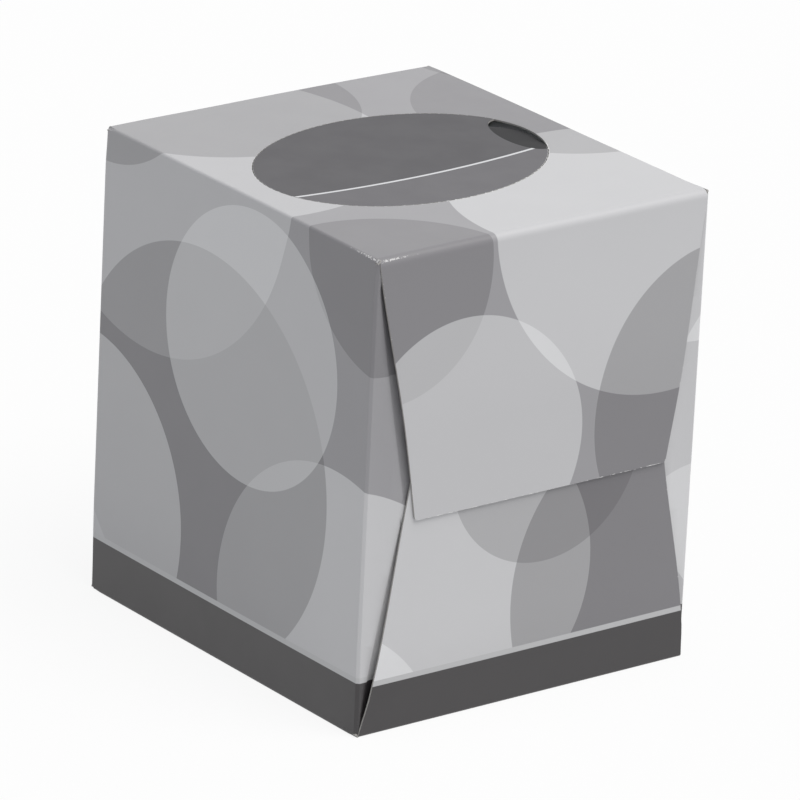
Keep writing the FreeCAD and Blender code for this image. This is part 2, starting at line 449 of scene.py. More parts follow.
def new_group(name: str, inputs: dict[str, object], outputs: dict[str, str]) -> tuple[Graph, dict, dict]:
    """Starts a shader node group.

    Args:
        name: the group's name.
        inputs: the default value of each input. A tuple of three makes a vector, one of four a colour.
        outputs: the socket type of each output.

    Returns:
        Its graph, its inputs as sockets to read, and its outputs as sockets to feed.
    """
    tree = bpy.data.node_groups.new(name, "ShaderNodeTree")
    kinds = {float: "NodeSocketFloat", 3: "NodeSocketVector", 4: "NodeSocketColor"}
    for label, value in inputs.items():
        kind = kinds[float] if isinstance(value, float) else kinds[len(value)]
        made = tree.interface.new_socket(label, in_out="INPUT", socket_type=kind)
        made.default_value = value
    for label, kind in outputs.items():
        tree.interface.new_socket(label, in_out="OUTPUT", socket_type=kind)
    graph = Graph(tree)
    entry = graph.node("NodeGroupInput")
    leave = graph.node("NodeGroupOutput")
    return graph, {k: entry.outputs[k] for k in inputs}, {k: leave.inputs[k] for k in outputs}


# ---- Effects that several finishes share


class Effects:
    """Shader groups for what several finishes have in common, each built once."""

    def __init__(self) -> None:
        """Builds every group."""
        self.fibre = self.build_fibre()
        self.wear = self.build_wear()
        self.drift = self.build_drift()
        self.disc = self.build_disc()

    @staticmethod
    def build_fibre() -> NodeTree:
        """Paper fibre: a fine height and a mask of darker flecks.

        Returns:
            The group.
        """
        graph, read, feed = new_group(
            "paper_fibre",
            {"Place": (0.0, 0.0, 0.0), "Scale": 1.0, "Fleck": 0.5},
            {"Height": "NodeSocketFloat", "Mask": "NodeSocketFloat"},
        )
        along = graph.stretched(read["Place"], (1.0, 0.45, 1.0))
        fine = graph.noise(along, graph.math("MULTIPLY", read["Scale"], 3.0), 4.0, 0.6)
        broad = graph.noise(read["Place"], graph.math("MULTIPLY", read["Scale"], 0.35), 2.0)
        graph.put(feed["Height"], graph.math("MULTIPLY_ADD", fine, 0.7, graph.math("MULTIPLY", broad, 0.3)))
        fleck = graph.noise(along, graph.math("MULTIPLY", read["Scale"], 1.6), 1.0)
        graph.put(feed["Mask"], graph.math("MULTIPLY", graph.ramp(fleck, 0.62, 0.74), read["Fleck"]))
        return graph.tree

    @staticmethod
    def build_wear() -> NodeTree:
        """Chips and rubbed spots: where a closeness from 0 to 1 and a noise together pass a limit.

        Returns:
            The group.
        """
        graph, read, feed = new_group(
            "rubbed_spots",
            {"Place": (0.0, 0.0, 0.0), "Closeness": 0.0, "Amount": 0.3, "Scale": 1.5},
            {"Mask": "NodeSocketFloat"},
        )
        spots = graph.noise(read["Place"], read["Scale"], 3.0, 0.65)
        need = graph.math("SUBTRACT", 0.82, graph.math("MULTIPLY", read["Amount"], 0.45))
        score = graph.math("MULTIPLY", spots, graph.math("MINIMUM", read["Closeness"], 1.0))
        graph.put(feed["Mask"], graph.ramp(graph.math("SUBTRACT", score, need), -0.02, 0.03))
        return graph.tree

    @staticmethod
    def build_drift() -> NodeTree:
        """Slow, slight change of a colour over the surface, as between sheets of one print run.

        Returns:
            The group.
        """
        graph, read, feed = new_group(
            "tone_drift",
            {"Place": (0.0, 0.0, 0.0), "Color": (0.5, 0.5, 0.5, 1.0), "Scale": 0.02, "Amount": 0.04},
            {"Color": "NodeSocketColor"},
        )
        wave = graph.noise(read["Place"], read["Scale"], 3.0, 0.55)
        swing = graph.math("MULTIPLY", graph.math("SUBTRACT", wave, 0.5), read["Amount"])
        scale = graph.node("ShaderNodeVectorMath", operation="SCALE")
        graph.put(scale.inputs[0], read["Color"])
        graph.put(scale.inputs["Scale"], graph.math("ADD", swing, 1.0))
        graph.put(feed["Color"], scale.outputs[0])
        return graph.tree

    @staticmethod
    def build_disc() -> NodeTree:
        """Mask of a round field of print, with an edge as sharp as offset print has.

        Returns:
            The group.
        """
        graph, read, feed = new_group(
            "print_disc",
            {"Place": (0.0, 0.0, 0.0), "Center": (0.0, 0.0, 0.0), "Radius": 40.0, "Strength": 0.3},
            {"Mask": "NodeSocketFloat"},
        )
        away = graph.node("ShaderNodeVectorMath", operation="DISTANCE")
        graph.put(away.inputs[0], read["Place"])
        graph.put(away.inputs[1], read["Center"])
        depth = graph.math("SUBTRACT", read["Radius"], away.outputs["Value"])
        graph.put(feed["Mask"], graph.math("MULTIPLY", graph.step(depth, DISC_EDGE), read["Strength"]))
        return graph.tree


# ---- Finishes


class Tone(Enum):
    """Inks and papers, as linear grey with its slight tint."""

    WHITE_INK = (0.82, 0.825, 0.835)
    GROUND = (0.292, 0.288, 0.302)
    DEEP_INK = (0.042, 0.037, 0.044)
    BAND = (0.038, 0.035, 0.037)
    BAND_LINE = (0.47, 0.472, 0.48)
    OVAL = (0.0125, 0.0105, 0.0165)
    OVAL_LIGHT = (0.06, 0.057, 0.066)
    OVAL_LINE = (0.6, 0.605, 0.62)
    TAB = (0.014, 0.014, 0.016)
    FIBRE = (0.8, 0.8, 0.79)
    CUT_EDGE = (0.38, 0.37, 0.355)
    LINER = (0.52, 0.5, 0.46)
    LINER_FLECK = (0.3, 0.28, 0.25)
    TISSUE = (0.86, 0.86, 0.85)
    TISSUE_SHADE = (0.76, 0.76, 0.76)
    GLUE = (0.72, 0.62, 0.4)
    GLUE_DEEP = (0.6, 0.48, 0.26)
    FILM = (0.88, 0.9, 0.92)

    @property
    def rgba(self) -> tuple[float, float, float, float]:
        """The colour with full cover."""
        return (*self.value, 1.0)


class Ink(Enum):
    """The two inks that discs of the print are laid in."""

    LIGHT = Tone.WHITE_INK
    DARK = Tone.DEEP_INK


@dataclass(frozen=True)
class Disc:
    """One translucent disc of the print, placed on the flat sheet.

    Attributes:
        s: its middle, round the carton.
        t: its middle, along the carton.
        radius: its radius.
        ink: the ink that it is laid in.
        strength: how much the ink covers.
    """

    s: float
    t: float
    radius: float
    ink: Ink
    strength: float


@dataclass(frozen=True)
class Finish:
    """What every finish has: a name and the constants of its shader."""

    name: str
    roughness: float = 0.5
    coat: float = 0.0
    coat_roughness: float = 0.2
    specular: float = 0.5

    def start(self) -> tuple[bpy.types.Material, Graph, bpy.types.Node]:
        """A new material, its graph and its shader with the plain constants set.

        Returns:
            The material, its graph and its shader.
        """
        material = bpy.data.materials.new(self.name)
        material.use_nodes = True
        graph = Graph(material.node_tree)
        shader = material.node_tree.nodes["Principled BSDF"]
        shader.inputs["Roughness"].default_value = self.roughness
        shader.inputs["Coat Weight"].default_value = self.coat
        shader.inputs["Coat Roughness"].default_value = self.coat_roughness
        shader.inputs["Specular IOR Level"].default_value = self.specular
        return material, graph, shader

    @staticmethod
    def bump(graph: Graph, shader: bpy.types.Node, height: Socket, strength: float, distance: float) -> None:
        """Feeds the shader's normal from a height. The distance is in millimetres.

        Args:
            graph: the material's nodes.
            shader: the shader to feed.
            height: the height.
            strength: strength of the bump.
            distance: depth that a height of 1 stands for.
        """
        made = graph.node("ShaderNodeBump")
        made.inputs["Strength"].default_value = strength
        made.inputs["Distance"].default_value = distance * MM
        graph.put(made.inputs["Height"], height)
        graph.put(shader.inputs["Normal"], made.outputs[0])


@dataclass(frozen=True)
class BandPlace:
    """Where the dark band at the foot lies on the flat sheet.

    Attributes:
        side: where it starts on the side panels, as s without its sign.
        bottom_start: where the bottom panel with its flaps ends.
        flap: where it ends on the bottom flaps, as t without its sign.
        line: width of the light line above it.
    """

    side: float
    bottom_start: float
    flap: float
    line: float


@dataclass(frozen=True)
class OvalPlace:
    """The printed oval, its light line and the thumb tab on the flat sheet.

    Attributes:
        center: the oval's middle.
        half: half its length and half its width.
        tilt: its turn, in degrees.
        line_t: the light line's t where it curves most.
        line_middle: s of that point.
        line_curve: how fast the line curves up from there.
        line_width: the line's width.
        tab_middle: middle between the tab's tips.
        tab_half: the way from there to the tab's +Y tip.
        tab_bulge: how far the tab's crease bulges from the line between its tips.
    """

    center: tuple[float, float]
    half: tuple[float, float]
    tilt: float
    line_t: float
    line_middle: float
    line_curve: float
    line_width: float
    tab_middle: tuple[float, float]
    tab_half: tuple[float, float]
    tab_bulge: float

    def depth(self, graph: Graph, s: Socket, t: Socket) -> Socket:
        """How far inside the oval's rim a point lies, in millimetres.

        Args:
            graph: the material's nodes.
            s: place round the sheet.
            t: place along the sheet.

        Returns:
            The depth.
        """
        across = graph.math("SUBTRACT", s, self.center[0])
        up = graph.math("SUBTRACT", t, self.center[1])
        c, d = math.cos(math.radians(self.tilt)), math.sin(math.radians(self.tilt))
        along = graph.math("MULTIPLY_ADD", across, c / self.half[0], graph.math("MULTIPLY", up, d / self.half[0]))
        beside = graph.math("MULTIPLY_ADD", across, -d / self.half[1], graph.math("MULTIPLY", up, c / self.half[1]))
        reach = graph.math("SQRT", graph.math("MULTIPLY_ADD", along, along, graph.math("MULTIPLY", beside, beside)))
        return graph.math("MULTIPLY", graph.math("SUBTRACT", 1.0, reach), sum(self.half) / 2)

    def below_line(self, graph: Graph, s: Socket, t: Socket) -> Socket:
        """How far in front of the curved light line a point lies, in millimetres.

        Args:
            graph: the material's nodes.
            s: place round the sheet.
            t: place along the sheet.

        Returns:
            The distance.
        """
        away = graph.math("SUBTRACT", s, self.line_middle)
        bow = graph.math("MULTIPLY", graph.math("MULTIPLY", away, away), self.line_curve)
        return graph.math("SUBTRACT", graph.math("ADD", bow, self.line_t), t)

    def on_tab(self, graph: Graph, s: Socket, t: Socket) -> Socket:
        """1 on the thumb tab.

        Args:
            graph: the material's nodes.
            s: place round the sheet.
            t: place along the sheet.

        Returns:
            The mask.
        """
        up = graph.math("DIVIDE", graph.math("SUBTRACT", t, self.tab_middle[1]), self.tab_half[1])
        share = graph.math("MULTIPLY", up, up)
        sweep = graph.math("SQRT", graph.math("MAXIMUM", graph.math("SUBTRACT", 1.0, share), 0.0))
        chord = graph.math("MULTIPLY_ADD", up, self.tab_half[0], self.tab_middle[0])
        crease = graph.math("SUBTRACT", chord, graph.math("MULTIPLY", sweep, self.tab_bulge))
        past_crease = graph.step(graph.math("SUBTRACT", s, crease), 0.1)
        return graph.math("MULTIPLY", past_crease, graph.math("LESS_THAN", share, 1.0))


@dataclass(frozen=True)
class PrintedBoard(Finish):
    """Coated board printed in greys under a satin varnish."""

    discs: tuple[Disc, ...] = ()
    band: BandPlace | None = None
    oval: OvalPlace | None = None
    least_fuzz: float = 0.3
    gap_s: tuple[float, float] = (34.0, 36.0)
    gap_t: tuple[float, float] = (-9.0, -6.0)

    def artwork(self, graph: Graph, effects: Effects, place: Socket) -> Socket:
        """Colour of the overlapping discs.

        Args:
            graph: the material's nodes.
            effects: the shared shader groups.
            place: place on the flat sheet.

        Returns:
            The colour.
        """
        color: object = Tone.GROUND.rgba
        for disc in self.discs:
            spot = graph.group(effects.disc, Place=place, Center=(disc.s, disc.t, 0.0), Radius=disc.radius,
                               Strength=disc.strength)
            color = graph.mix(spot.outputs["Mask"], color, disc.ink.value.rgba)
        return color

    def foot_band(self, graph: Graph, color: Socket, s: Socket, t: Socket) -> Socket:
        """Lays the dark band and its light line over a colour.

        Args:
            graph: the material's nodes.
            color: the print so far.
            s: place round the sheet.
            t: place along the sheet.

        Returns:
            The colour with the band.
        """
        on_flap = graph.math("LESS_THAN", s, self.band.bottom_start)
        side_depth = graph.math("SUBTRACT", graph.math("ABSOLUTE", s), self.band.side)
        flap_depth = graph.math("SUBTRACT", self.band.flap, graph.math("ABSOLUTE", t))
        depth = graph.blend(on_flap, side_depth, flap_depth)
        line = graph.ramp(depth, -self.band.line - BAND_EDGE, -self.band.line + BAND_EDGE)
        return graph.mix(graph.step(depth, BAND_EDGE), graph.mix(line, color, Tone.BAND_LINE.rgba), Tone.BAND.rgba)

    def oval_field(self, graph: Graph, color: Socket, depth: Socket, on_tab: Socket, place: Socket, s: Socket,
                   t: Socket) -> Socket:
        """Lays the oval, its line, the tab's tone and the fibres of the perforation over a colour.

        Args:
            graph: the material's nodes.
            color: the print so far.
            depth: how far inside the rim a point lies.
            on_tab: 1 on the thumb tab.
            place: place on the flat sheet.
            s: place round the sheet.
            t: place along the sheet.

        Returns:
            The colour with the oval.
        """
        below = self.oval.below_line(graph, s, t)
        field_color = graph.mix(graph.step(below, INK_EDGE), Tone.OVAL.rgba, Tone.OVAL_LIGHT.rgba)
        half_line = self.oval.line_width / 2
        line = graph.ramp(graph.math("ABSOLUTE", below), half_line + INK_EDGE, half_line - INK_EDGE)
        field_color = graph.mix(line, field_color, Tone.OVAL_LINE.rgba)
        field_color = graph.mix(on_tab, field_color, Tone.TAB.rgba)
        color = graph.mix(graph.step(depth, INK_EDGE), color, field_color)
        rim = graph.ramp(graph.math("ABSOLUTE", depth), 0.3, 0.12)
        ragged = graph.ramp(graph.noise(place, 2.2, 3.0), 0.42, 0.55)
        toward_front = graph.math("SUBTRACT", graph.math("MULTIPLY", s, 0.022), graph.math("MULTIPLY", t, 0.03))
        strength = graph.ramp(toward_front, 0.1, 0.9, self.least_fuzz, 1.0)
        at_gap = graph.math("MULTIPLY", graph.ramp(s, *self.gap_s), graph.ramp(t, *self.gap_t))
        off_gap = graph.math("SUBTRACT", 1.0, at_gap)
        fuzz = graph.math("MULTIPLY", graph.math("MULTIPLY", rim, ragged), graph.math("MULTIPLY", strength, off_gap))
        return graph.mix(fuzz, color, Tone.FIBRE.rgba)

    def build(self, effects: Effects) -> bpy.types.Material:
        """Makes the material.

        Args:
            effects: the shared shader groups.

        Returns:
            The material.
        """
        material, graph, shader = self.start()
        place = graph.blank()
        parts = graph.node("ShaderNodeSeparateXYZ")
        graph.put(parts.inputs[0], place)
        s, t = parts.outputs[0], parts.outputs[1]
        depth, on_tab = self.oval.depth(graph, s, t), self.oval.on_tab(graph, s, t)
        color = self.artwork(graph, effects, place)
        color = self.foot_band(graph, color, s, t)
        color = self.oval_field(graph, color, depth, on_tab, place, s, t)
        color = graph.group(effects.drift, Place=place, Color=color, Scale=0.03, Amount=0.03).outputs[0]
        fold = graph.group(effects.wear, Place=place, Closeness=graph.attribute("fold_wear"), Amount=0.68, Scale=1.9)
        chips = graph.group(effects.wear, Place=graph.stretched(place, (0.3, 1.0, 1.0)),
                            Closeness=graph.attribute("edge_wear"), Amount=0.72, Scale=2.0)
        rubbed = graph.math("MAXIMUM", graph.math("MULTIPLY", fold.outputs[0], 0.62), chips.outputs[0])
        color = graph.mix(rubbed, color, Tone.FIBRE.rgba)
        graph.put(shader.inputs["Base Color"], color)
        fibre = graph.group(effects.fibre, Place=place, Scale=1.0, Fleck=0.0)
        gloss = graph.ramp(graph.noise(place, 0.08, 3.0), 0.3, 0.7, self.roughness - 0.02, self.roughness + 0.02)
        pressed = graph.math("MULTIPLY", on_tab, graph.step(depth, INK_EDGE))
        matt = graph.math("MAXIMUM", rubbed, pressed)
        graph.put(shader.inputs["Roughness"], graph.blend(matt, gloss, 0.85))
        graph.put(shader.inputs["Coat Weight"], graph.blend(matt, self.coat, 0.0))
        height = graph.math("ADD", fibre.outputs["Height"], graph.math("MULTIPLY", rubbed, 1.5))
        self.bump(graph, shader, height, 0.12, 0.05)
        return material


@dataclass(frozen=True)
class BareBoard(Finish):
    """Unprinted recycled board: the inner face, or the cut edge with its plies."""

    tone: Tone = Tone.LINER
    fleck: Tone = Tone.LINER_FLECK
    scale: float = 1.0

    def build(self, effects: Effects) -> bpy.types.Material:
        """Makes the material.

        Args:
            effects: the shared shader groups.

        Returns:
            The material.
        """
        material, graph, shader = self.start()
        place = graph.object_place()
        fibre = graph.group(effects.fibre, Place=place, Scale=self.scale, Fleck=0.7)
        color = graph.mix(fibre.outputs["Mask"], self.tone.rgba, self.fleck.rgba)
        color = graph.group(effects.drift, Place=place, Color=color, Scale=0.25, Amount=0.35).outputs[0]
        graph.put(shader.inputs["Base Color"], color)
        rough = graph.ramp(fibre.outputs["Height"], 0.2, 0.8, self.roughness - 0.08, self.roughness + 0.08)
        graph.put(shader.inputs["Roughness"], rough)
        self.bump(graph, shader, fibre.outputs["Height"], 0.5, 0.08)
        return material


@dataclass(frozen=True)
class TissuePaper(Finish):
    """Soft creped tissue."""

    def build(self, effects: Effects) -> bpy.types.Material:
        """Makes the material.

        Args:
            effects: the shared shader groups.

        Returns:
            The material.
        """
        material, graph, shader = self.start()
        place = graph.object_place((1.0, 2.4, 1.0))
        fibre = graph.group(effects.fibre, Place=place, Scale=1.4, Fleck=0.5)
        color = graph.mix(fibre.outputs["Mask"], Tone.TISSUE.rgba, Tone.TISSUE_SHADE.rgba)
        color = graph.group(effects.drift, Place=place, Color=color, Scale=0.05, Amount=0.06).outputs[0]
        graph.put(shader.inputs["Base Color"], color)
        rough = graph.ramp(fibre.outputs["Height"], 0.2, 0.8, self.roughness - 0.05, self.roughness)
        graph.put(shader.inputs["Roughness"], rough)
        shader.inputs["Sheen Weight"].default_value = 0.25
        self.bump(graph, shader, fibre.outputs["Height"], 0.6, 0.15)
        return material


@dataclass(frozen=True)
class HotMelt(Finish):
    """Set hot-melt glue, amber and slightly cloudy."""

    def build(self, effects: Effects) -> bpy.types.Material:
        """Makes the material.

        Args:
            effects: the shared shader groups.

        Returns:
            The material.
        """
        material, graph, shader = self.start()
        place = graph.object_place()
        cloud = graph.ramp(graph.noise(place, 0.6, 3.0), 0.35, 0.7)
        color = graph.mix(cloud, Tone.GLUE.rgba, Tone.GLUE_DEEP.rgba)
        color = graph.group(effects.drift, Place=place, Color=color, Scale=0.4, Amount=0.2).outputs[0]
        graph.put(shader.inputs["Base Color"], color)
        graph.put(shader.inputs["Roughness"], graph.ramp(cloud, 0.0, 1.0, self.roughness, self.roughness + 0.15))
        self.bump(graph, shader, graph.noise(place, 1.2, 3.0), 0.4, 0.1)
        return material


@dataclass(frozen=True)
class ClearFilm(Finish):
    """Thin clear film with slack ripples."""

    cover: float = 0.3

    def build(self, effects: Effects) -> bpy.types.Material:
        """Makes the material.

        Args:
            effects: the shared shader groups.

        Returns:
            The material.
        """
        material, graph, shader = self.start()
        place = graph.object_place()
        color = graph.group(effects.drift, Place=place, Color=Tone.FILM.rgba, Scale=0.1, Amount=0.05).outputs[0]
        graph.put(shader.inputs["Base Color"], color)
        shader.inputs["Alpha"].default_value = self.cover
        graph.put(shader.inputs["Roughness"], graph.ramp(graph.noise(place, 0.2, 2.0), 0.3, 0.7, self.roughness,
                                                         self.roughness + 0.08))
        self.bump(graph, shader, graph.noise(place, 0.25, 2.0), 0.3, 0.3)
        return material


# ---- Meshes


def mesh_object(name: str, points: Points, faces: Sequence[Sequence[int]],
                materials: Sequence[bpy.types.Material]) -> bpy.types.Object:
    """Makes an object from points in millimetres.

    Args:
        name: the piece's name.
        points: one row for each vertex.
        faces: vertex numbers of each face.
        materials: its materials, in order.

    Returns:
        The object, linked into the scene.
    """
    mesh = bpy.data.meshes.new(name)
    mesh.from_pydata((points * MM).tolist(), [], [list(map(int, f)) for f in faces])
    for material in materials:
        mesh.materials.append(material)
    mesh.validate()
    made = bpy.data.objects.new(name, mesh)
    bpy.context.scene.collection.objects.link(made)
    return made


def bake_modifiers(piece: bpy.types.Object) -> None:
    """Applies every modifier of a piece to its mesh.

    Args:
        piece: the piece.
    """
    graph = bpy.context.evaluated_depsgraph_get()
    mesh = bpy.data.meshes.new_from_object(piece.evaluated_get(graph), preserve_all_data_layers=True, depsgraph=graph)
    old, name = piece.data, piece.data.name
    piece.modifiers.clear()
    piece.data = mesh
    bpy.data.meshes.remove(old)
    mesh.name = name


def cut_sheet(lines: Sequence[Points], grid: Points, outline: Points,
              holes: Sequence[Points]) -> tuple[Points, Points]:
    """Meshes a flat sheet along lines and through single points.

    Args:
        lines: polylines that edges of the mesh follow.
        grid: points between them.
        outline: the sheet's closed outline.
        holes: closed outlines of what is cut out.

    Returns:
        The flat points and the triangles.
    """
    points: list[Points] = []
    edges: list[tuple[int, int]] = []
    for line in lines:
        base = len(points)
        points += list(line)
        edges += [(base + k, base + k + 1) for k in range(len(line) - 1)]
    points += list(grid)
    out = delaunay_2d_cdt([Vector(p) for p in points], edges, [], 0, WELD)
    flat = np.array([tuple(p) for p in out[0]])
    faces = np.array(out[2])
    middle = flat[faces].mean(axis=1)
    keep = inside(middle, outline)
    for hole in holes:
        keep &= ~inside(middle, hole)
    return flat, faces[keep]


def tube_faces(rings: int, around: int) -> list[tuple[int, ...]]:
    """Faces of a closed tube: its two caps and the bands between its rings.

    Args:
        rings: number of rings.
        around: points in each ring.

    Returns:
        Vertex numbers of each face.
    """
    last = (rings - 1) * around
    faces = [tuple(range(around))[::-1], tuple(last + k for k in range(around))]
    for low in range(0, last, around):
        high = low + around
        for k in range(around):
            beside = (k + 1) % around
            faces.append((low + k, low + beside, high + beside, high + k))
    return faces


def thicken(piece: bpy.types.Object, thickness: float) -> bpy.types.SolidifyModifier:
    """Gives a sheet its thickness, inwards from the face that is built.

    Args:
        piece: the sheet.
        thickness: its thickness, in millimetres.

    Returns:
        The modifier, not yet applied.
    """
    shell = piece.modifiers.new("sheet", "SOLIDIFY")
    shell.thickness = thickness * MM
    shell.offset = -1.0
    return shell


def shade_smooth(piece: bpy.types.Object, sharp_angle: float | None = None) -> None:
    """Shades a piece smoothly, up to an angle in degrees where one is given.

    Args:
        piece: the piece.
        sharp_angle: angle above which an edge stays sharp, or None for none.
    """
    piece.data.polygons.foreach_set("use_smooth", [True] * len(piece.data.polygons))
    if sharp_angle is not None:
        piece.data.set_sharp_from_angle(angle=math.radians(sharp_angle))


def face_outwards(piece: bpy.types.Object) -> None:
    """Turns every face of a closed piece outwards.

    Args:
        piece: the piece.
    """
    repair = bmesh.new()
    repair.from_mesh(piece.data)
    bmesh.ops.recalc_face_normals(repair, faces=repair.faces)
    repair.to_mesh(piece.data)
    repair.free()


def finish_piece(piece: bpy.types.Object, node: str) -> None:
    """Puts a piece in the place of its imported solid, and reports it.

    Args:
        piece: the piece.
        node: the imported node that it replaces.
    """
    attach(piece, BODY)
    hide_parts(node)
    LOG.info("%s: %d vertices, %d faces", piece.name, len(piece.data.vertices), len(piece.data.polygons))


@dataclass(frozen=True)
class Settling:
    """How a full carton leaves its ideal box: the flaps pushed out and the panels slightly bowed.

    A pair of numbers is a ramp's start and length, apart from dust_carried (least and share) and
    stretch_share (far and near).
    """

    # The end flaps
    front: float = 2.2
    back: float = 0.5
    back_reach: float = 0.3
    top_peak: float = 0.66
    bottom_rise: float = 24.0
    crown: float = 0.12
    top_shift: float = 1.55
    flap_spread: float = 0.4
    bottom_shift: float = 0.6
    face_step: float = 0.5
    dust_ramp: float = 14.0
    dust_press: float = 0.75
    dust_sink: float = 1.1
    sink_height: float = 26.0
    # The sides and the top
    left_push: float = 0.3
    right_push: float = 1.0
    side_bow: float = 0.3
    top_lift: float = 0.45
    corner_lift: float = 0.4
    back_corner_lift: float = 0.35
    # The carton's own sizes
    half_x: float = 51.5
    half_y: float = 57.5
    height: float = 126.0
    top_fold: float = 2.0
    top_flap: float = 68.5
    top_taper: float = 0.166
    bottom_taper: float = 0.175
    dust_root: float = 50.2
    # How each change fades out
    dust_lip: float = 1.1
    least_lip: float = 0.5
    dust_carried: tuple[float, float] = (0.1, 0.9)
    sink_ramp: float = 8.0
    back_sink: float = 0.6
    side_top: tuple[float, float] = (1.0, 10.0)
    right_foot: float = 4.0
    stretch_far: tuple[float, float] = (5.0, 20.0)
    stretch_near: tuple[float, float] = (48.0, 9.0)
    stretch_across: tuple[float, float] = (42.0, 9.5)
    stretch_share: tuple[float, float] = (0.25, 0.75)
    lift_across: tuple[float, float] = (15.0, 36.0)
    lift_along: tuple[float, float] = (15.0, 42.0)
    lift_depth: float = 26.0

    def amount(self, x: Points, end: Points) -> Points:
        """Largest bulge across an end, where end is the sign of Y."""
        return np.where(end < 0, self.front, self.back) * (1 - self.crown * (x / self.half_x) ** 2)

    def top(self, x: Points, z: Points, end: Points) -> Points:
        """How far the top flap is pushed out.

        Args:
            x: places across the end.
            z: heights.
            end: sign of Y of the end.

        Returns:
            The distance outwards.
        """
        down = np.clip((self.height - self.top_fold - z) / self.top_flap, 0.0, 1.0)
        share = np.minimum(1.0, down / self.top_peak)
        return self.amount(x, end) * (np.sin(share * RIGHT_ANGLE) + smooth(share)) / 2

    def bottom(self, x: Points, z: Points, end: Points) -> Points:
        """How far the bottom flap is pushed out."""
        share = np.sin(np.clip(z / self.bottom_rise, 0.0, 1.0) * RIGHT_ANGLE)
        return (self.amount(x, end) - self.face_step) * share

    def dust(self, x: Points, z: Points, end: Points) -> Points:
        """How far a dust flap is pressed in at its edge, carried out with the others, and sunk at its foot.

        Args:
            x: places across the end.
            z: heights.
            end: sign of Y of the end.

        Returns:
            The distance outwards.
        """
        inward = self.dust_root - np.abs(x)
        edge = np.minimum(self.top_taper * (self.height - self.top_fold - z), self.bottom_taper * z)
        lip = np.clip(edge, self.least_lip, self.dust_lip)
        pressed = self.dust_press * smooth((inward - edge + lip) / lip)
        least, share = self.dust_carried
        carried = np.minimum(self.bottom(x, z, end), least + share * self.top(x, z, end))
        sunk = self.dust_sink * (1 - smooth(z / self.sink_height)) * smooth(inward / self.sink_ramp)
        return carried * smooth(inward / self.dust_ramp) - pressed - np.where(end < 0, sunk, self.back_sink * sunk)

    def side(self, x: Points, y: Points, z: Points) -> Points:
        """How far a side panel is pushed out.

        Args:
            x: places along X, whose sign gives the side.
            y: places along Y.
            z: heights.

        Returns:
            The distance along X.
        """
        gap, length = self.side_top
        even = smooth((self.height - gap - z) / length) * smooth(z / np.where(x < 0, self.sink_height, self.right_foot))
        across = np.clip(1 - (y / self.half_y) ** 2, 0.0, 1.0)
        push = np.where(x < 0, self.left_push, 0.0)
        return np.sign(x) * (push + self.side_bow * across) * even

    def stretch(self, x: Points, y: Points) -> Points:
        """How far the filling stretches the carton to its right side towards the front, outside the oval.

        Args:
            x: places along X.
            y: places along Y.

        Returns:
            The distance along X.
        """
        far, near = self.stretch_share
        front = far * rise(-y, self.stretch_far) + near * rise(-y, self.stretch_near)
        return self.right_push * front * rise(x, self.stretch_across)

    def lift(self, x: Points, y: Points, z: Points) -> Points:
        """How far the edges of the top stand up between its corners, and two of its corners with them.

        Args:
            x: places along X.
            y: places along Y.
            z: heights.

        Returns:
            The distance upwards.
        """
        across = np.clip((x / self.half_x) ** 2, 0.0, 1.0)
        along = np.clip((y / self.half_y) ** 2, 0.0, 1.0)
        edges = self.top_lift * (across * (1 - along) + along * (1 - across))
        corner = self.corner_lift * rise(x, self.lift_across) * rise(-y, self.lift_along)
        behind = self.back_corner_lift * rise(-x, self.lift_across) * rise(y, self.lift_along)
        return (edges + corner + behind) * smooth((z - self.height + self.lift_depth) / self.lift_depth)

    def reach(self, y: Points) -> Points:
        """How much further back a point stands, because the filling stretches the carton."""
        return self.back_reach * np.clip((y + self.half_y) / (2 * self.half_y), 0.0, 1.0)


class FlapKind(Enum):
    """The three kinds of end flap, by the panel that they hang on."""

    TOP = "top"
    BOTTOM = "bottom"
    DUST = "dust"


@dataclass(frozen=True)
class Flap:
    """One flap of the flat sheet, at one end of a panel.

    Attributes:
        kind: which panel it hangs on.
        start: s of its first side.
        end: s of its last side.
        reach: where its fold starts, along t.
        fold: the path through its fold.
        straight: length of its flat part.
        taper: how far each side leans in, per length.
        corner: radius of its corners.
    """

    kind: FlapKind
    start: float
    end: float
    reach: float
    fold: Path
    straight: float
    taper: float
    corner: float

    @property
    def root(self) -> float:
        """Where the flat part of the flap starts, along t."""
        return self.reach + self.fold.length

    @property
    def tip(self) -> float:
        """Where the flap ends, along t."""
        return self.root + self.straight


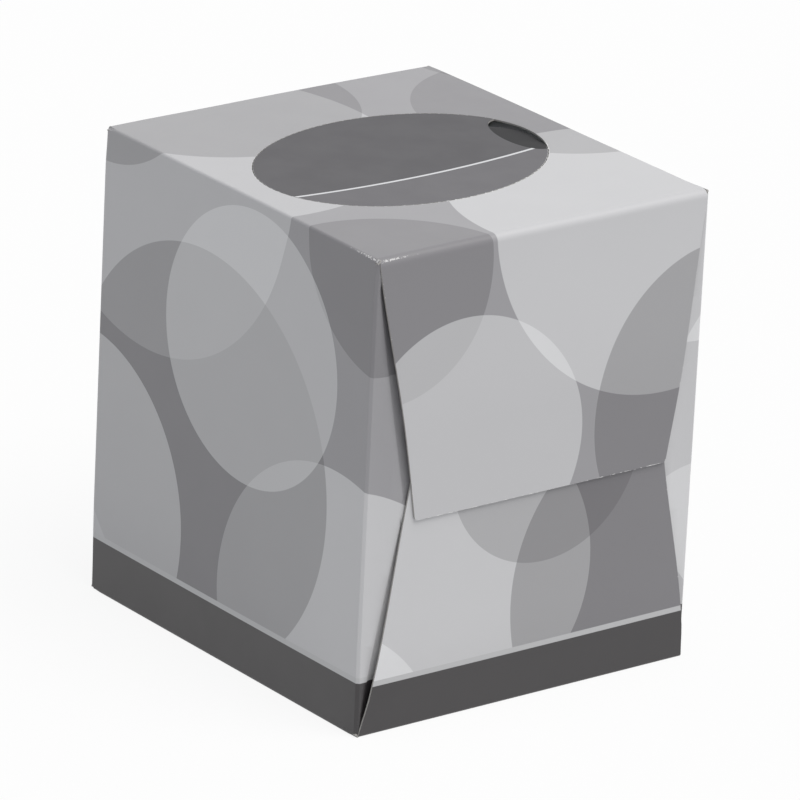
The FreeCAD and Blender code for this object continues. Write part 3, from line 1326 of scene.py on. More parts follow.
@dataclass
class Carton:
    """The carton: one die-cut sheet of coated board, drawn flat and then folded up.

    On the flat sheet, s runs round the carton from the bottom panel's raw edge, with 0 in the middle
    of the top panel, and t runs along Y.
    """

    # Board, folds and flaps
    board: float = 0.45
    layer: float = 0.6
    long_fold: float = 0.7
    top_fold: float = 2.0
    back_top_fold: float = 1.2
    bottom_fold: float = 0.7
    bottom_face_inset: float = 0.1
    dust_fold: float = 1.3
    dust_bend: float = 0.35
    dust_facet: float = 0.7
    top_flap_length: float = 69.8
    top_taper: float = 0.166
    bottom_flap_length: float = 74.0
    bottom_taper: float = 0.175
    dust_flap_length: float = 43.0
    dust_taper: float = 0.14
    flap_corner: float = 1.2
    dust_corner: float = 6.0
    # The seam flap, and the strips that are cut back beside the folds
    seam_width: float = 14.0
    seam_taper: float = 5.0
    seam_inset: float = 0.25
    strip_inset: float = 0.2
    strip_cut: float = 0.1
    back_strip_cut: float = 0.5
    dust_notch: float = 0.25
    notch: float = 0.12
    seam_reach: float = 53.8
    strip_pull: tuple[float, float] = (0.3, 0.5)
    strip_ramp: float = 1.2
    least_step: float = 0.8
    # The oval, its perforation and the thumb tab
    oval_s: float = -0.9
    oval_t: float = 0.3
    oval_half_length: float = 42.4
    oval_half_width: float = 31.2
    oval_tilt: float = 7.5
    slot_length: float = 1.8
    slot_width: float = 0.25
    nick: float = 0.6
    tab_angles: tuple[float, float] = (-32.5, 14.5)
    tab_bulge: float = 6.2
    tab_cut_angle: float = 47.0
    tab_gap: float = 0.2
    tab_dip: float = 1.1
    tab_tip_dip: float = 2.7
    tab_area: tuple[tuple[float, float], tuple[float, float]] = ((29.0, 43.5), (-16.0, 16.0))
    tab_spacing: float = 0.8
    kerf_trim: tuple[float, float] = (0.016, 0.007)
    kerf_end_angle: float = 12.0
    # How fine the mesh is, and where it steps down beside the end flaps
    fold_steps: int = 6
    flap_fold_steps: int = 9
    dust_fold_steps: int = 5
    fold_guard: float = 0.3
    mid_height: float = 60.0
    bottom_lap: tuple[float, float] = (6.0, 55.0)
    top_lap: tuple[float, float] = (62.0, 118.0)
    sheet_half: float = 140.0
    spacing: float = 3.0
    fine_spacing: float = 1.5
    # How worn folds, corners and cut edges are
    wear_width: float = 0.9
    dust_wear: float = 0.6
    fold_wear: tuple[float, float] = (0.42, 0.7)
    corner_wear: float = 0.8
    corner_reach: float = 5.0
    worn_corner_reach: float = 15.0
    cut_width: float = 0.5
    side_cut_wear: float = 0.78
    # The dark band at the foot
    band_height: float = 14.75
    flap_band_end: float = 70.6
    band_line: float = 1.5
    settling: Settling = field(default_factory=Settling)

    def __post_init__(self) -> None:
        """Works out the section of the tube, the flaps and the cuts."""
        _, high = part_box("carton")
        self.half_x, self.half_y, self.height = high.x / MM, high.y / MM, high.z / MM
        edge = self.half_x - self.long_fold
        arc = (self.long_fold * RIGHT_ANGLE, -RIGHT_ANGLE)
        flats = [
            self.half_x - self.seam_inset + edge,
            self.height - 2 * self.long_fold,
            2 * edge,
            self.height - 2 * self.long_fold - self.layer,
            self.seam_width - self.long_fold,
        ]
        steps: list[tuple[float, float]] = []
        for flat in flats:
            steps += [(flat, 0.0), arc]
        steps.pop()
        self.section = Path(tuple(steps), (self.half_x - self.seam_inset, 0.0), math.pi)
        starts = np.concatenate([[0.0], np.cumsum([length for length, _ in steps])])
        self.origin = starts[4] + flats[2] / 2
        self.marks = starts - self.origin
        self.tube_reach = self.half_y - self.strip_inset - self.dust_fold
        edge = self.half_y - self.strip_inset
        self.strip_reach = {-1: edge - self.strip_cut, 1: edge - self.back_strip_cut}
        self.flaps = {end: self.make_flaps(end) for end in (-1, 1)}

    def make_flaps(self, end: int) -> list[Flap]:
        """The flaps of one end in their order round the carton: bottom, left dust, top, right dust.

        Args:
            end: sign of Y of the end.

        Returns:
            The flaps.
        """
        m = self.marks
        bend = self.top_fold if end < 0 else self.back_top_fold
        bottom_face = self.half_y - self.bottom_face_inset
        dust = dict(reach=self.tube_reach, fold=double_fold(self.dust_fold, self.dust_bend, self.dust_facet),
                    straight=self.dust_flap_length - self.dust_fold, taper=self.dust_taper, corner=self.dust_corner)
        return [
            Flap(FlapKind.BOTTOM, m[0], m[1] - self.notch, bottom_face - self.bottom_fold, round_fold(self.bottom_fold),
                 self.bottom_flap_length - self.bottom_fold, self.bottom_taper, self.flap_corner),
            Flap(FlapKind.DUST, m[2] + self.dust_notch, m[3] - self.dust_notch, **dust),
            Flap(FlapKind.TOP, m[4] + self.notch, m[5] - self.notch, self.half_y - bend, round_fold(bend),
                 self.top_flap_length - bend, self.top_taper, self.flap_corner),
            Flap(FlapKind.DUST, m[6] + self.dust_notch, m[7] - self.dust_notch, **dust),
        ]

    # The flat sheet

    def end_outline(self, end: int) -> Points:
        """The die-cut outline at one end, from the bottom panel's raw edge to the seam flap.

        Args:
            end: sign of Y of the end.

        Returns:
            Corners of the outline, with t as a positive number.
        """
        line: list[Points] = []
        strip = self.strip_reach[end]
        for k, flap in enumerate(self.flaps[end]):
            first, last = self.marks[2 * k], self.marks[2 * k + 1]
            lean = flap.taper * flap.straight
            corners = np.array([(flap.start, flap.root), (flap.start + lean, flap.tip),
                                (flap.end - lean, flap.tip), (flap.end, flap.root)])
            if k:
                line += [np.array((first, strip)), np.array((first, flap.reach))]
            line += [np.array((flap.start, flap.reach)), corners[0]]
            line += list(rounded(corners[0], corners[1], corners[2], flap.corner))
            line += list(rounded(corners[1], corners[2], corners[3], flap.corner))
            line += [corners[3], np.array((flap.end, flap.reach)), np.array((last, flap.reach)),
                     np.array((last, strip))]
        seam_start, seam_end = self.marks[8], self.marks[9]
        line += [np.array((seam_start, strip)), np.array((seam_start + 0.1, self.seam_reach)),
                 np.array((seam_end, self.seam_reach - self.seam_taper))]
        keep = [line[0]]
        for point in line[1:]:
            if np.linalg.norm(point - keep[-1]) > WELD:
                keep.append(point)
        return np.array(keep)

    def outline(self) -> Points:
        """The whole die-cut outline as a closed loop."""
        return np.vstack([self.end_outline(1), self.end_outline(-1)[::-1] * (1.0, -1.0)])

    def fold_lines(self) -> list[Points]:
        """Lines on the flat sheet that the mesh follows through each bend, with a guard line beside it.

        Returns:
            The lines.
        """
        lines = []
        for s in self.section.stations(self.fold_steps, self.fold_guard):
            s -= self.origin
            if self.marks[0] < s < self.marks[9]:
                turn = int(np.searchsorted(self.marks, s + WELD)) % 2 == 0
                seam = {end: self.seam_reach - 1 for end in (-1, 1)}
                flat = {end: self.tube_reach for end in (-1, 1)}
                reach = seam if s > self.marks[8] else self.strip_reach if turn else flat
                lines.append(np.array([(s, -reach[-1]), (s, reach[1])]))
        for end, flaps in self.flaps.items():
            for flap in flaps:
                steps = self.dust_fold_steps if flap.kind is FlapKind.DUST else self.flap_fold_steps
                for over in flap.fold.stations(steps, self.fold_guard):
                    t = (flap.reach + over) * end
                    lines.append(np.array([(flap.start, t), (flap.end, t)]))
        return lines

    def step_lines(self) -> list[Points]:
        """Lines on the dust flaps that the mesh follows where they step down beside the end flaps.

        Returns:
            The lines.
        """
        m, lines = self.marks, []
        for end, flaps in self.flaps.items():
            for flap, foot, way in ((flaps[1], m[2] - self.long_fold, 1), (flaps[3], m[7] + self.long_fold, -1)):
                for taper, lap in ((self.bottom_taper, self.bottom_lap), (self.top_taper, self.top_lap)):
                    for step in (0.0, self.settling.dust_lip / 2, self.settling.dust_lip):
                        ends = []
                        for z in lap:
                            covered = z if lap is self.bottom_lap else self.height - self.top_fold - z
                            inward = taper * covered - step
                            ends.append((foot + way * z, (flap.root + inward) * end))
                        lines.append(np.array(ends))
        return lines

    @property
    def oval_turn(self) -> tuple[float, float]:
        """Cosine and sine of the oval's tilt."""
        return math.cos(math.radians(self.oval_tilt)), math.sin(math.radians(self.oval_tilt))

    def oval_point(self, angle: float, inset: float = 0.0) -> Points:
        """Point of the oval on the flat sheet.

        Args:
            angle: where on the oval, in radians.
            inset: how far inside the rim.

        Returns:
            The point.
        """
        long, wide = (self.oval_half_length - inset) * math.cos(angle), (self.oval_half_width - inset) * math.sin(angle)
        c, s = self.oval_turn
        return np.array((self.oval_s + c * long - s * wide, self.oval_t + s * long + c * wide))

    def oval_frame(self, flat: Points) -> tuple[Points, Points]:
        """Places along and across the tilted oval, from its middle.

        Args:
            flat: points on the flat sheet.

        Returns:
            Distances along the oval and across it.
        """
        ds, dt = flat[:, 0] - self.oval_s, flat[:, 1] - self.oval_t
        c, s = self.oval_turn
        return c * ds + s * dt, c * dt - s * ds

    def oval_edge(self, t: Points) -> Points:
        """Right edge of the oval at rows of the flat sheet.

        Args:
            t: the rows.

        Returns:
            The edge's s at each row.
        """
        c, s = self.oval_turn
        a2, b2 = self.oval_half_length**2, self.oval_half_width**2
        dt = t - self.oval_t
        one, two = c * c / a2 + s * s / b2, 2 * c * s * dt * (1 / a2 - 1 / b2)
        rest = dt * dt * (s * s / a2 + c * c / b2) - 1
        return self.oval_s + (np.sqrt(np.maximum(two * two - 4 * one * rest, 0.0)) - two) / (2 * one)

    def tab_tips(self) -> tuple[Points, Points]:
        """Middle of the chord between the tab's tips, and the way from there to its +Y tip."""
        low, high = (self.oval_point(math.radians(a)) for a in self.tab_angles)
        return (low + high) / 2, (high - low) / 2

    def tab_crease(self, angle: float, inset: float = 0.0) -> Points:
        """Point of the thumb tab's crease. The angle is 0 at the +Y tip and half a turn at the -Y tip."""
        middle, half = self.tab_tips()
        return middle + half * math.cos(angle) + np.array((inset - self.tab_bulge * math.sin(angle), 0.0))

    def slots(self) -> list[Points]:
        """Outlines of the perforation slots.

        Returns:
            One closed outline for each slot.
        """
        end, start = (math.radians(a) for a in self.tab_angles)
        fine = np.linspace(start, FULL_TURN + end, 2000)
        rim = np.array([self.oval_point(a) for a in fine])
        run = np.concatenate([[0.0], np.cumsum(np.linalg.norm(np.diff(rim, axis=0), axis=1))])
        count = round((run[-1] - self.nick) / (self.slot_length + self.nick))
        pitch = (run[-1] - self.nick) / count
        made = []
        for k in range(count):
            ends = np.interp(self.nick / 2 + pitch * (k + 0.5) + np.array((-0.5, 0.5)) * self.slot_length, run, fine)
            a, b = (self.oval_point(float(e)) for e in ends)
            along = (b - a) / np.linalg.norm(b - a)
            across = np.array((-along[1], along[0])) * self.slot_width / 2
            made.append(np.array([a - across, b - across, b + across, a + across]))
        return made

    def tab_kerf(self) -> Points:
        """Outline of the cut that frees the thumb tab, along the rim and round its +Y tip.

        Returns:
            The closed outline.
        """
        low, tip, cut = (math.radians(a) for a in (*self.tab_angles, self.tab_cut_angle))
        rim = [self.oval_point(a) for a in np.linspace(low, tip, 40)]
        crease = [self.tab_crease(a) for a in np.linspace(0.0, cut, 10)[1:]]
        back = [self.tab_crease(a, self.tab_gap) for a in np.linspace(cut, math.radians(self.kerf_end_angle), 8)]
        from_tip, from_low = self.kerf_trim
        inner = [self.oval_point(a, self.tab_gap) for a in np.linspace(tip - from_tip, low + from_low, 38)]
        return np.array(rim + crease + back + inner)

    def tab_hinge(self) -> Points:
        """The crease that the tab still hangs on."""
        cut = math.radians(self.tab_cut_angle)
        return np.array([self.tab_crease(a) for a in np.linspace(cut, math.pi, 24)])

    def tab_share(self, flat: Points) -> tuple[Points, Points, Points]:
        """Where points lie on the tab.

        Args:
            flat: points on the flat sheet.

        Returns:
            Whether each is on the tab, its share from the -Y to the +Y tip, and from crease to rim.
        """
        middle, half = self.tab_tips()
        up = (flat[:, 1] - middle[1]) / half[1]
        near = np.clip(1 - up**2, 0.0, 1.0)
        crease = middle[0] + half[0] * up - self.tab_bulge * np.sqrt(near)
        rim = self.oval_edge(flat[:, 1]) - self.tab_gap * 0.7
        across = (flat[:, 0] - crease) / np.maximum(rim - crease, 1e-6)
        on = (np.abs(up) < 1.0) & (across > 1e-4) & (flat[:, 0] < rim + 0.05)
        return on, (up + 1) / 2, np.clip(across, 0.0, 1.0)

    def lay_out(self) -> tuple[Points, Points]:
        """Meshes the flat sheet.

        Returns:
            The points on the flat sheet and the triangles.
        """
        outline = self.outline()
        holes = self.slots() + [self.tab_kerf()]
        lines = [spread(closed(outline), self.spacing)]
        lines += [closed(hole) for hole in holes]
        lines += [spread(line, self.spacing) for line in self.fold_lines()]
        lines.append(self.tab_hinge())
        for end, flaps in self.flaps.items():
            for flap in flaps:
                lean = flap.taper * flap.straight + flap.corner
                t = (flap.tip - self.board) * end
                lines.append(spread(np.array([(flap.start + lean, t), (flap.end - lean, t)]), self.fine_spacing))
        lines += [spread(line, self.fine_spacing) for line in self.step_lines()]
        wide = lattice((self.marks[0], self.marks[9]), (-self.sheet_half, self.sheet_half), self.spacing)
        fine = lattice(*self.tab_area, self.tab_spacing)
        wide, fine = (grid[inside(grid, outline)] for grid in (wide, fine))
        fine = fine[distance_to(fine, [closed(self.tab_kerf()), self.tab_hinge()]) > 0.35]
        (left, right), (_, reach) = self.tab_area
        near_tab = (wide[:, 0] > left - 1) & (wide[:, 0] < right + 1) & (np.abs(wide[:, 1]) < reach + 1)
        wide = wide[(distance_to(wide, lines) > 0.9) & ~near_tab]
        return cut_sheet(lines, np.vstack([wide, fine]), outline, holes)

    # Folding it up

    def lean(self, flap: Flap, end: int, x: Points, y: Points, z: Points) -> Points:
        """Shifts a flap's points sideways, because it was glued down a little askew.

        Args:
            flap: the flap.
            end: sign of Y of its end.
            x: places along X.
            y: places along Y.
            z: heights.

        Returns:
            The new places along X.
        """
        set_ = self.settling
        if flap.kind is FlapKind.DUST:
            return x + set_.side(x, y, z) * (1 - smooth((set_.dust_root - np.abs(x)) / 15))
        if flap.kind is FlapKind.BOTTOM:
            shift = set_.bottom_shift if end < 0 else 0.0
            return x + shift * smooth(z / 10) * smooth((self.mid_height - z) / 35)
        down = np.clip((self.height - z) / self.top_flap_length, 0.0, 1.0)
        x = x + (set_.top_shift if end < 0 else -0.4 * set_.top_shift) * smooth(down * 1.2)
        if end > 0:
            return x
        spread_out = set_.flap_spread * rise(x, (10, 35)) * smooth(down * 8)
        return x + np.maximum(spread_out - set_.stretch(x, y), 0.0)

    def press_tab(self, flat: Points) -> Points:
        """How deep the thumb tab is pressed in.

        Args:
            flat: points on the flat sheet.

        Returns:
            The depth of each point, 0 off the tab.
        """
        on_tab, along, across = self.tab_share(flat)
        dip = self.tab_dip * np.minimum(1.0, along / 0.33)
        tip = np.clip((along - 0.65) / 0.35, 0.0, 1.0)
        dip += (self.tab_tip_dip - self.tab_dip) * tip**2
        free = smooth((along - 0.84) / 0.1)
        return np.where(on_tab, dip * (across**1.2 * (1 - free) + free), 0.0)

    def fold(self, flat: Points) -> Points:
        """Outer face of the folded, filled carton at points of the flat sheet.

        Args:
            flat: points on the flat sheet.

        Returns:
            The same points in space.
        """
        s, t = flat[:, 0], flat[:, 1]
        x, z, heading = self.section.at(s + self.origin)
        y = t.copy()
        out_x, out_z = -np.sin(heading), np.cos(heading)
        sign = np.sign(t)
        set_ = self.settling
        pushes = {FlapKind.TOP: set_.top, FlapKind.BOTTOM: set_.bottom, FlapKind.DUST: set_.dust}
        body = np.ones(len(s), bool)
        for end, flap in [(end, flap) for end, flaps in self.flaps.items() for flap in flaps]:
            on = (s > flap.start - 1e-3) & (s < flap.end + 1e-3) & (t * end > flap.reach)
            body &= ~on
            ahead, inward, _ = flap.fold.at(np.abs(t[on]) - flap.reach)
            y[on] = sign[on] * (flap.reach + ahead)
            x[on] -= out_x[on] * inward
            z[on] -= out_z[on] * inward
            y[on] += sign[on] * pushes[flap.kind](x[on], z[on], sign[on])
            x[on] = self.lean(flap, end, x[on], y[on], z[on])
        side = body & (np.abs(out_x) > 0.5)
        x[side] += set_.side(x[side], y[side], z[side])
        turn = body & (np.abs(out_x) > 0.01) & (np.abs(out_z) > 0.01)
        tip = np.where(t < 0, self.strip_reach[-1], self.strip_reach[1])
        share = np.clip((np.abs(t) - tip + self.strip_ramp) / self.strip_ramp, 0.0, 1.0)
        pull = np.where(t < 0, *self.strip_pull) * share**2 * turn
        crushed = body & (t < 0) & (x > 0) & (z > self.mid_height)
        pull = np.where(crushed, 0.0, pull)
        y = np.where(crushed, np.maximum(y, self.least_step - self.half_y), y)
        x -= out_x * pull
        z += set_.lift(x, y, z) - out_z * pull
        y += set_.reach(y)
        x += set_.stretch(x, y)
        z -= self.press_tab(flat)
        return np.stack([x, y, z], axis=1)

    def closeness(self, flat: Points, place: Points) -> tuple[Points, Points]:
        """How rubbed each point may be, from 0 to 1: at folds, and at cut edges.

        Args:
            flat: points on the flat sheet.
            place: the same points in space.

        Returns:
            Both values for each point.
        """
        folds: list[Points] = []
        ends: list[Points] = []
        for k in (1, 3, 5, 7):
            s = (self.marks[k] + self.marks[k + 1]) / 2
            folds.append(np.array([(s, -self.strip_reach[-1]), (s, self.strip_reach[1])]))
        for end, flaps in self.flaps.items():
            for flap in flaps:
                t = (flap.reach + flap.fold.length * 0.5) * end
                (ends if flap.kind is FlapKind.DUST else folds).append(np.array([(flap.start, t), (flap.end, t)]))
        near = np.exp(-(distance_to(flat, folds) / self.wear_width) ** 2)
        near = np.maximum(near, self.dust_wear * np.exp(-(distance_to(flat, ends) / self.wear_width) ** 2))
        knock = np.zeros(len(flat))
        for x, y, z in product((-1, 1), (-1, 1), (0, 1)):
            away = np.linalg.norm(place - (x * self.half_x, y * self.half_y, z * self.height), axis=1)
            if (x, y, z) == (-1, -1, 1):
                knock = np.maximum(knock, np.exp(-(away / self.worn_corner_reach) ** 2))
            elif (x, y, z) != (1, -1, 1):
                knock = np.maximum(knock, self.corner_wear * np.exp(-away / self.corner_reach))
        edges = [spread(closed(self.outline()), 50.0)]
        cut = np.clip(1 - distance_to(flat, edges) / self.cut_width, 0.0, 1.0)
        tip = (flat[:, 1] < 1.0 - self.flaps[-1][2].tip) & (np.abs(flat[:, 0]) < 60)
        least, knocked = self.fold_wear
        return near * (least + knocked * knock), cut * np.where(tip, 1.0, self.side_cut_wear)

    def band_place(self) -> BandPlace:
        """Where the dark band at the foot lies on the flat sheet.

        Returns:
            The band's place.
        """
        half = self.half_x + (self.long_fold * RIGHT_ANGLE - 2 * self.long_fold) / 2
        return BandPlace(side=half + self.height - self.band_height, bottom_start=self.marks[1] + self.long_fold,
                         flap=self.flap_band_end, line=self.band_line)

    def oval_place(self) -> OvalPlace:
        """Where the printed oval, its light line and the thumb tab lie on the flat sheet.

        Returns:
            The oval's place.
        """
        tab_middle, tab_half = (tuple(map(float, p)) for p in self.tab_tips())
        return OvalPlace((self.oval_s, self.oval_t), (self.oval_half_length, self.oval_half_width), self.oval_tilt,
                         line_t=-12.3, line_middle=-6.0, line_curve=0.0017, line_width=0.85, tab_middle=tab_middle,
                         tab_half=tab_half, tab_bulge=self.tab_bulge)

    def build(self, printed: bpy.types.Material, liner: bpy.types.Material,
              cut: bpy.types.Material) -> bpy.types.Object:
        """Makes the carton.

        Args:
            printed: finish of the outer face.
            liner: finish of the inner face.
            cut: finish of the cut edges.

        Returns:
            The finished piece.
        """
        flat, faces = self.lay_out()
        place = self.fold(flat)
        piece = mesh_object("carton_board", place, faces, (printed, liner, cut))
        mesh = piece.data
        layer = mesh.uv_layers.new(name=BLANK_MAP)
        corners = np.empty(len(mesh.loops), np.int32)
        mesh.loops.foreach_get("vertex_index", corners)
        layer.uv.foreach_set("vector", (flat[corners] * MM).astype(np.float32).ravel())
        for name, values in zip(("fold_wear", "edge_wear"), self.closeness(flat, place)):
            mesh.attributes.new(name, "FLOAT", "POINT").data.foreach_set("value", values.astype(np.float32))
        normals = np.empty(len(mesh.vertices) * 3, np.float32)
        mesh.vertex_normals.foreach_get("vector", normals)
        if (normals.reshape(-1, 3) * (place - (0, 0, self.height / 2))).sum() < 0:
            mesh.flip_normals()
        shell = thicken(piece, self.board)
        shell.use_even_offset = True
        shell.material_offset = 1
        shell.material_offset_rim = 2
        bake_modifiers(piece)
        shade_smooth(piece, 40)
        finish_piece(piece, "carton")
        return piece


@dataclass
class WindowFilm:
    """Clear film glued round the oval from inside, slack in its middle, with the slit for the next tissue."""

    carton: Carton
    lip: float = 2.4
    wall: float = 1.6
    drop: float = 3.35
    thickness: float = 0.05
    slit_half: float = 28.0
    slit_open: float = 0.45
    ripple: float = 0.08
    corner: float = 4.0
    spacing: float = 2.0
    lift_off: float = 0.02

    def height(self, flat: Points, top: float) -> Points:
        """Height of the film at points seen from above.

        Args:
            flat: the points.
            top: height of the film's glued border.

        Returns:
            The heights.
        """
        c = self.carton
        x, y = c.oval_frame(flat)
        share = np.hypot(x / (c.oval_half_length + self.lip), y / (c.oval_half_width + self.lip))
        depth = smooth((1 - share) * c.oval_half_width / self.wall)
        slack = self.ripple * (np.sin(x / 5.3 + 0.11 * y) * np.cos(y / 7.1) + 0.6 * np.sin(x / 2.9 - y / 4.3))
        z = top - self.drop * depth + slack * depth
        return z + c.settling.lift(flat[:, 0], flat[:, 1], np.full(len(flat), c.height)) - self.lift_off

    def build(self, material: bpy.types.Material) -> bpy.types.Object:
        """Makes the film.

        Args:
            material: the film's finish.

        Returns:
            The finished piece.
        """
        low, high = (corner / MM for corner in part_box("window_film"))
        corners = np.array([(low.x, low.y), (high.x, low.y), (high.x, high.y), (low.x, high.y)])
        rim = np.vstack([rounded(corners[k - 1], corners[k], corners[(k + 1) % 4], self.corner) for k in range(4)])
        run = np.linspace(0.0, FULL_TURN, 41)[:-1]
        lips = self.slit_open * np.sign(np.sin(run)) * np.abs(np.sin(run)) ** 1.4
        slit = np.stack([self.slit_half * np.cos(run), self.carton.oval_t + lips], axis=1)
        grid = lattice((low.x, high.x), (low.y, high.y), self.spacing)
        lines = [spread(closed(rim), self.spacing), closed(slit)]
        grid = grid[inside(grid, rim) & (distance_to(grid, lines) > 0.5)]
        flat, faces = cut_sheet(lines, grid, rim, [slit])
        piece = mesh_object("slit_film", np.column_stack([flat, self.height(flat, high.z)]), faces, (material,))
        thicken(piece, self.thickness)
        bake_modifiers(piece)
        shade_smooth(piece)
        finish_piece(piece, "window_film")
        return piece


@dataclass
class TissueStack:
    """The tissues: folded leaves bent over each other into an arch, whose legs meet in the middle."""

    leaves: int = 36
    filled: float = 0.94
    shoulder: float = 20.0
    least_bend: float = 1.2
    parting: float = 0.4
    uneven: float = 0.45
    wave: float = 0.12
    seam_edge: float = 36.4
    seam_top: float = 1.3
    across: int = 11
    foot_step: float = 0.8
    rim_pinch: float = 0.3
    seed: int = 31

    def arch(self, depth: float, low: Points, high: Points) -> Points:
        """Path of one leaf's face, from its left foot over the top to its right foot.

        Args:
            depth: how far inside the outermost face it lies.
            low: lowest corner of the stack's box.
            high: highest corner of the stack's box.

        Returns:
            Points as rows of x and z.
        """
        half, top = high[0] - depth, high[2] - depth
        bend = min(max(self.shoulder - depth, self.least_bend), half)
        turn = np.linspace(0.0, RIGHT_ANGLE, 8)
        left = np.column_stack([-half + bend * (1 - np.cos(turn)), top - bend * (1 - np.sin(turn))])
        leg = np.column_stack([np.full(9, -half), np.linspace(low[2], top - bend, 10)[:-1]])
        side = np.vstack([leg, left])
        flat = np.column_stack([np.linspace(left[-1, 0], -left[-1, 0], 9)[1:-1], np.full(7, top)])
        return np.vstack([side, flat, side[::-1] * (-1.0, 1.0)])

    def build(self, material: bpy.types.Material) -> bpy.types.Object:
        """Makes the stack as one mesh of leaves.

        Args:
            material: the tissues' finish.

        Returns:
            The finished piece.
        """
        low, high = (np.array(corner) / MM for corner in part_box("tissue_stack"))
        chance = np.random.default_rng(self.seed)
        pitch = (high[0] - self.parting) / self.leaves
        points: list[Points] = []
        faces: list[tuple[int, ...]] = []
        for k in range(self.leaves):
            outer = self.arch(k * pitch, low, high)
            inner = self.arch((k + self.filled) * pitch, low, high)
            rows = len(outer)
            share = np.linspace(-1.0, 1.0, self.across)
            wander = chance.normal(0.0, self.uneven / 2, 2) + self.uneven / 3 * np.sin(
                np.linspace(0, 6, rows)[:, None] + chance.uniform(0, 6, 2))
            reach = high[1] - self.uneven - np.clip(wander, -self.uneven, self.uneven)
            foot = chance.uniform(0.0, self.foot_step, 2)
            for path, sign in ((outer, 1.0), (inner, -1.0)):
                for across in share[:: int(sign)]:
                    y = np.where(across < 0, across * reach[:, 0], across * reach[:, 1])
                    ripple = self.wave * np.sin(5.1 * across + 0.7 * k + np.linspace(0, 9, rows))
                    middle = path - (path - (outer + inner) / 2) * self.rim_pinch * (abs(across) > 0.99)
                    x = middle[:, 0] + ripple * np.clip(-middle[:, 0] / 25, -1, 1) * (k > 0)
                    z = np.maximum(middle[:, 1], low[2] + np.where(x < 0, foot[0], foot[1]))
                    z = np.where(x > self.seam_edge, np.maximum(z, self.seam_top), z)
                    z = z - self.wave * (1 + np.sin(4.3 * across + k)) * (z > high[2] / 2)
                    points.append(np.column_stack([x, y, z]))
            ring = 2 * self.across
            base = (len(points) - ring) * rows
            for a in range(ring):
                b = (a + 1) % ring
                faces += [(base + a * rows + r, base + a * rows + r + 1, base + b * rows + r + 1, base + b * rows + r)
                          for r in range(rows - 1)]
            for r in (0, rows - 1):
                for a in range(self.across - 1):
                    quad = [base + v * rows + r for v in (a, a + 1, ring - 2 - a, ring - 1 - a)]
                    faces.append(tuple(quad if r == 0 else quad[::-1]))
        place = np.vstack(points)
        piece = mesh_object("folded_tissues", place, faces, (material,))
        face_outwards(piece)
        shade_smooth(piece, 50)
        finish_piece(piece, "tissue_stack")
        return piece


class DabLevel(Enum):
    """Which two flaps a dab joins, from the lowest dab to the highest."""

    LOW = "bottom flap on dust flap"
    LAP = "top flap on bottom flap"
    HIGH = "top flap on dust flap"


@dataclass
class FlapGlue:
    """Hot-melt dabs between the end flaps, squeezed flat when the flaps were pressed home."""

    carton: Carton
    half_length: float = 8.0
    half_width: float = 2.5
    across: float = 24.0
    low: float = 30.0
    lap: float = 63.0
    high: float = 96.0
    uneven: float = 0.14
    seed: int = 12
    rings: tuple[float, ...] = (0.45, 0.8, 0.96)
    around: int = 24
    pressed: float = 0.16
    rounding: float = 0.24

    def faces_at(self, level: DabLevel, x: Points, z: Points, end: Points) -> tuple[Points, Points]:
        """Distances from the middle, along Y, of the two faces that a dab lies between.

        Args:
            level: which two flaps they belong to.
            x: places across the end.
            z: heights.
            end: sign of Y of the end.

        Returns:
            The inner and the outer face.
        """
        c, set_ = self.carton, self.carton.settling
        top_inner = c.half_y - c.board + set_.top(x, z, end)
        bottom_outer = c.half_y - c.bottom_face_inset + set_.bottom(x, z, end)
        dust_outer = c.half_y - c.strip_inset + set_.dust(x, z, end)
        return {DabLevel.LOW: (dust_outer, bottom_outer - c.board), DabLevel.LAP: (bottom_outer, top_inner),
                DabLevel.HIGH: (dust_outer, top_inner)}[level]

    def dab(self, level: DabLevel, x: float, z: float, end: float,
            chance: np.random.Generator) -> tuple[Points, list[tuple[int, ...]]]:
        """One dab.

        Args:
            level: which two flaps it joins.
            x: where its middle is, across the end.
            z: how high its middle is.
            end: the sign of Y of its end of the carton.
            chance: source of the uneven outline.

        Returns:
            Its points and its faces.
        """
        turn = np.linspace(0.0, FULL_TURN, self.around, endpoint=False)
        edge = 1 + self.uneven * np.sin(2 * turn + chance.uniform(0, 6)) + self.uneven * 0.6 * np.sin(
            5 * turn + chance.uniform(0, 6))
        sides: list[Points] = []
        for near, rings in ((1, self.rings), (0, self.rings[::-1])):
            for ring in rings:
                px = x + self.half_length * ring * edge * np.sign(np.cos(turn)) * np.abs(np.cos(turn)) ** 0.8
                pz = z + self.half_width * ring * edge * np.sin(turn)
                inner, outer = self.faces_at(level, px, pz, np.full(len(px), end))
                share = self.pressed + self.rounding * rise(ring, (0.8, 0.2))
                y = inner + (outer - inner) * (1 - share if near else share)
                sides.append(np.column_stack([px, end * y, pz]))
        return np.vstack(sides), tube_faces(len(sides), self.around)

    def build(self, material: bpy.types.Material) -> bpy.types.Object:
        """Makes the dabs as one mesh.

        Args:
            material: the glue's finish.

        Returns:
            The finished piece.
        """
        chance = np.random.default_rng(self.seed)
        points: list[Points] = []
        faces: list[tuple[int, ...]] = []
        levels = ((DabLevel.LOW, self.low), (DabLevel.LAP, self.lap), (DabLevel.HIGH, self.high))
        for end, x, (level, z) in product((-1.0, 1.0), (-self.across, self.across), levels):
            place, found = self.dab(level, x, z, end, chance)
            base = sum(len(p) for p in points)
            points.append(place)
            faces += [tuple(base + v for v in face) for face in found]
        place = np.vstack(points)
        place[:, 1] += self.carton.settling.reach(place[:, 1])
        piece = mesh_object("flap_dabs", place, faces, (material,))
        face_outwards(piece)
        shade_smooth(piece)
        finish_piece(piece, "flap_glue")
        return piece


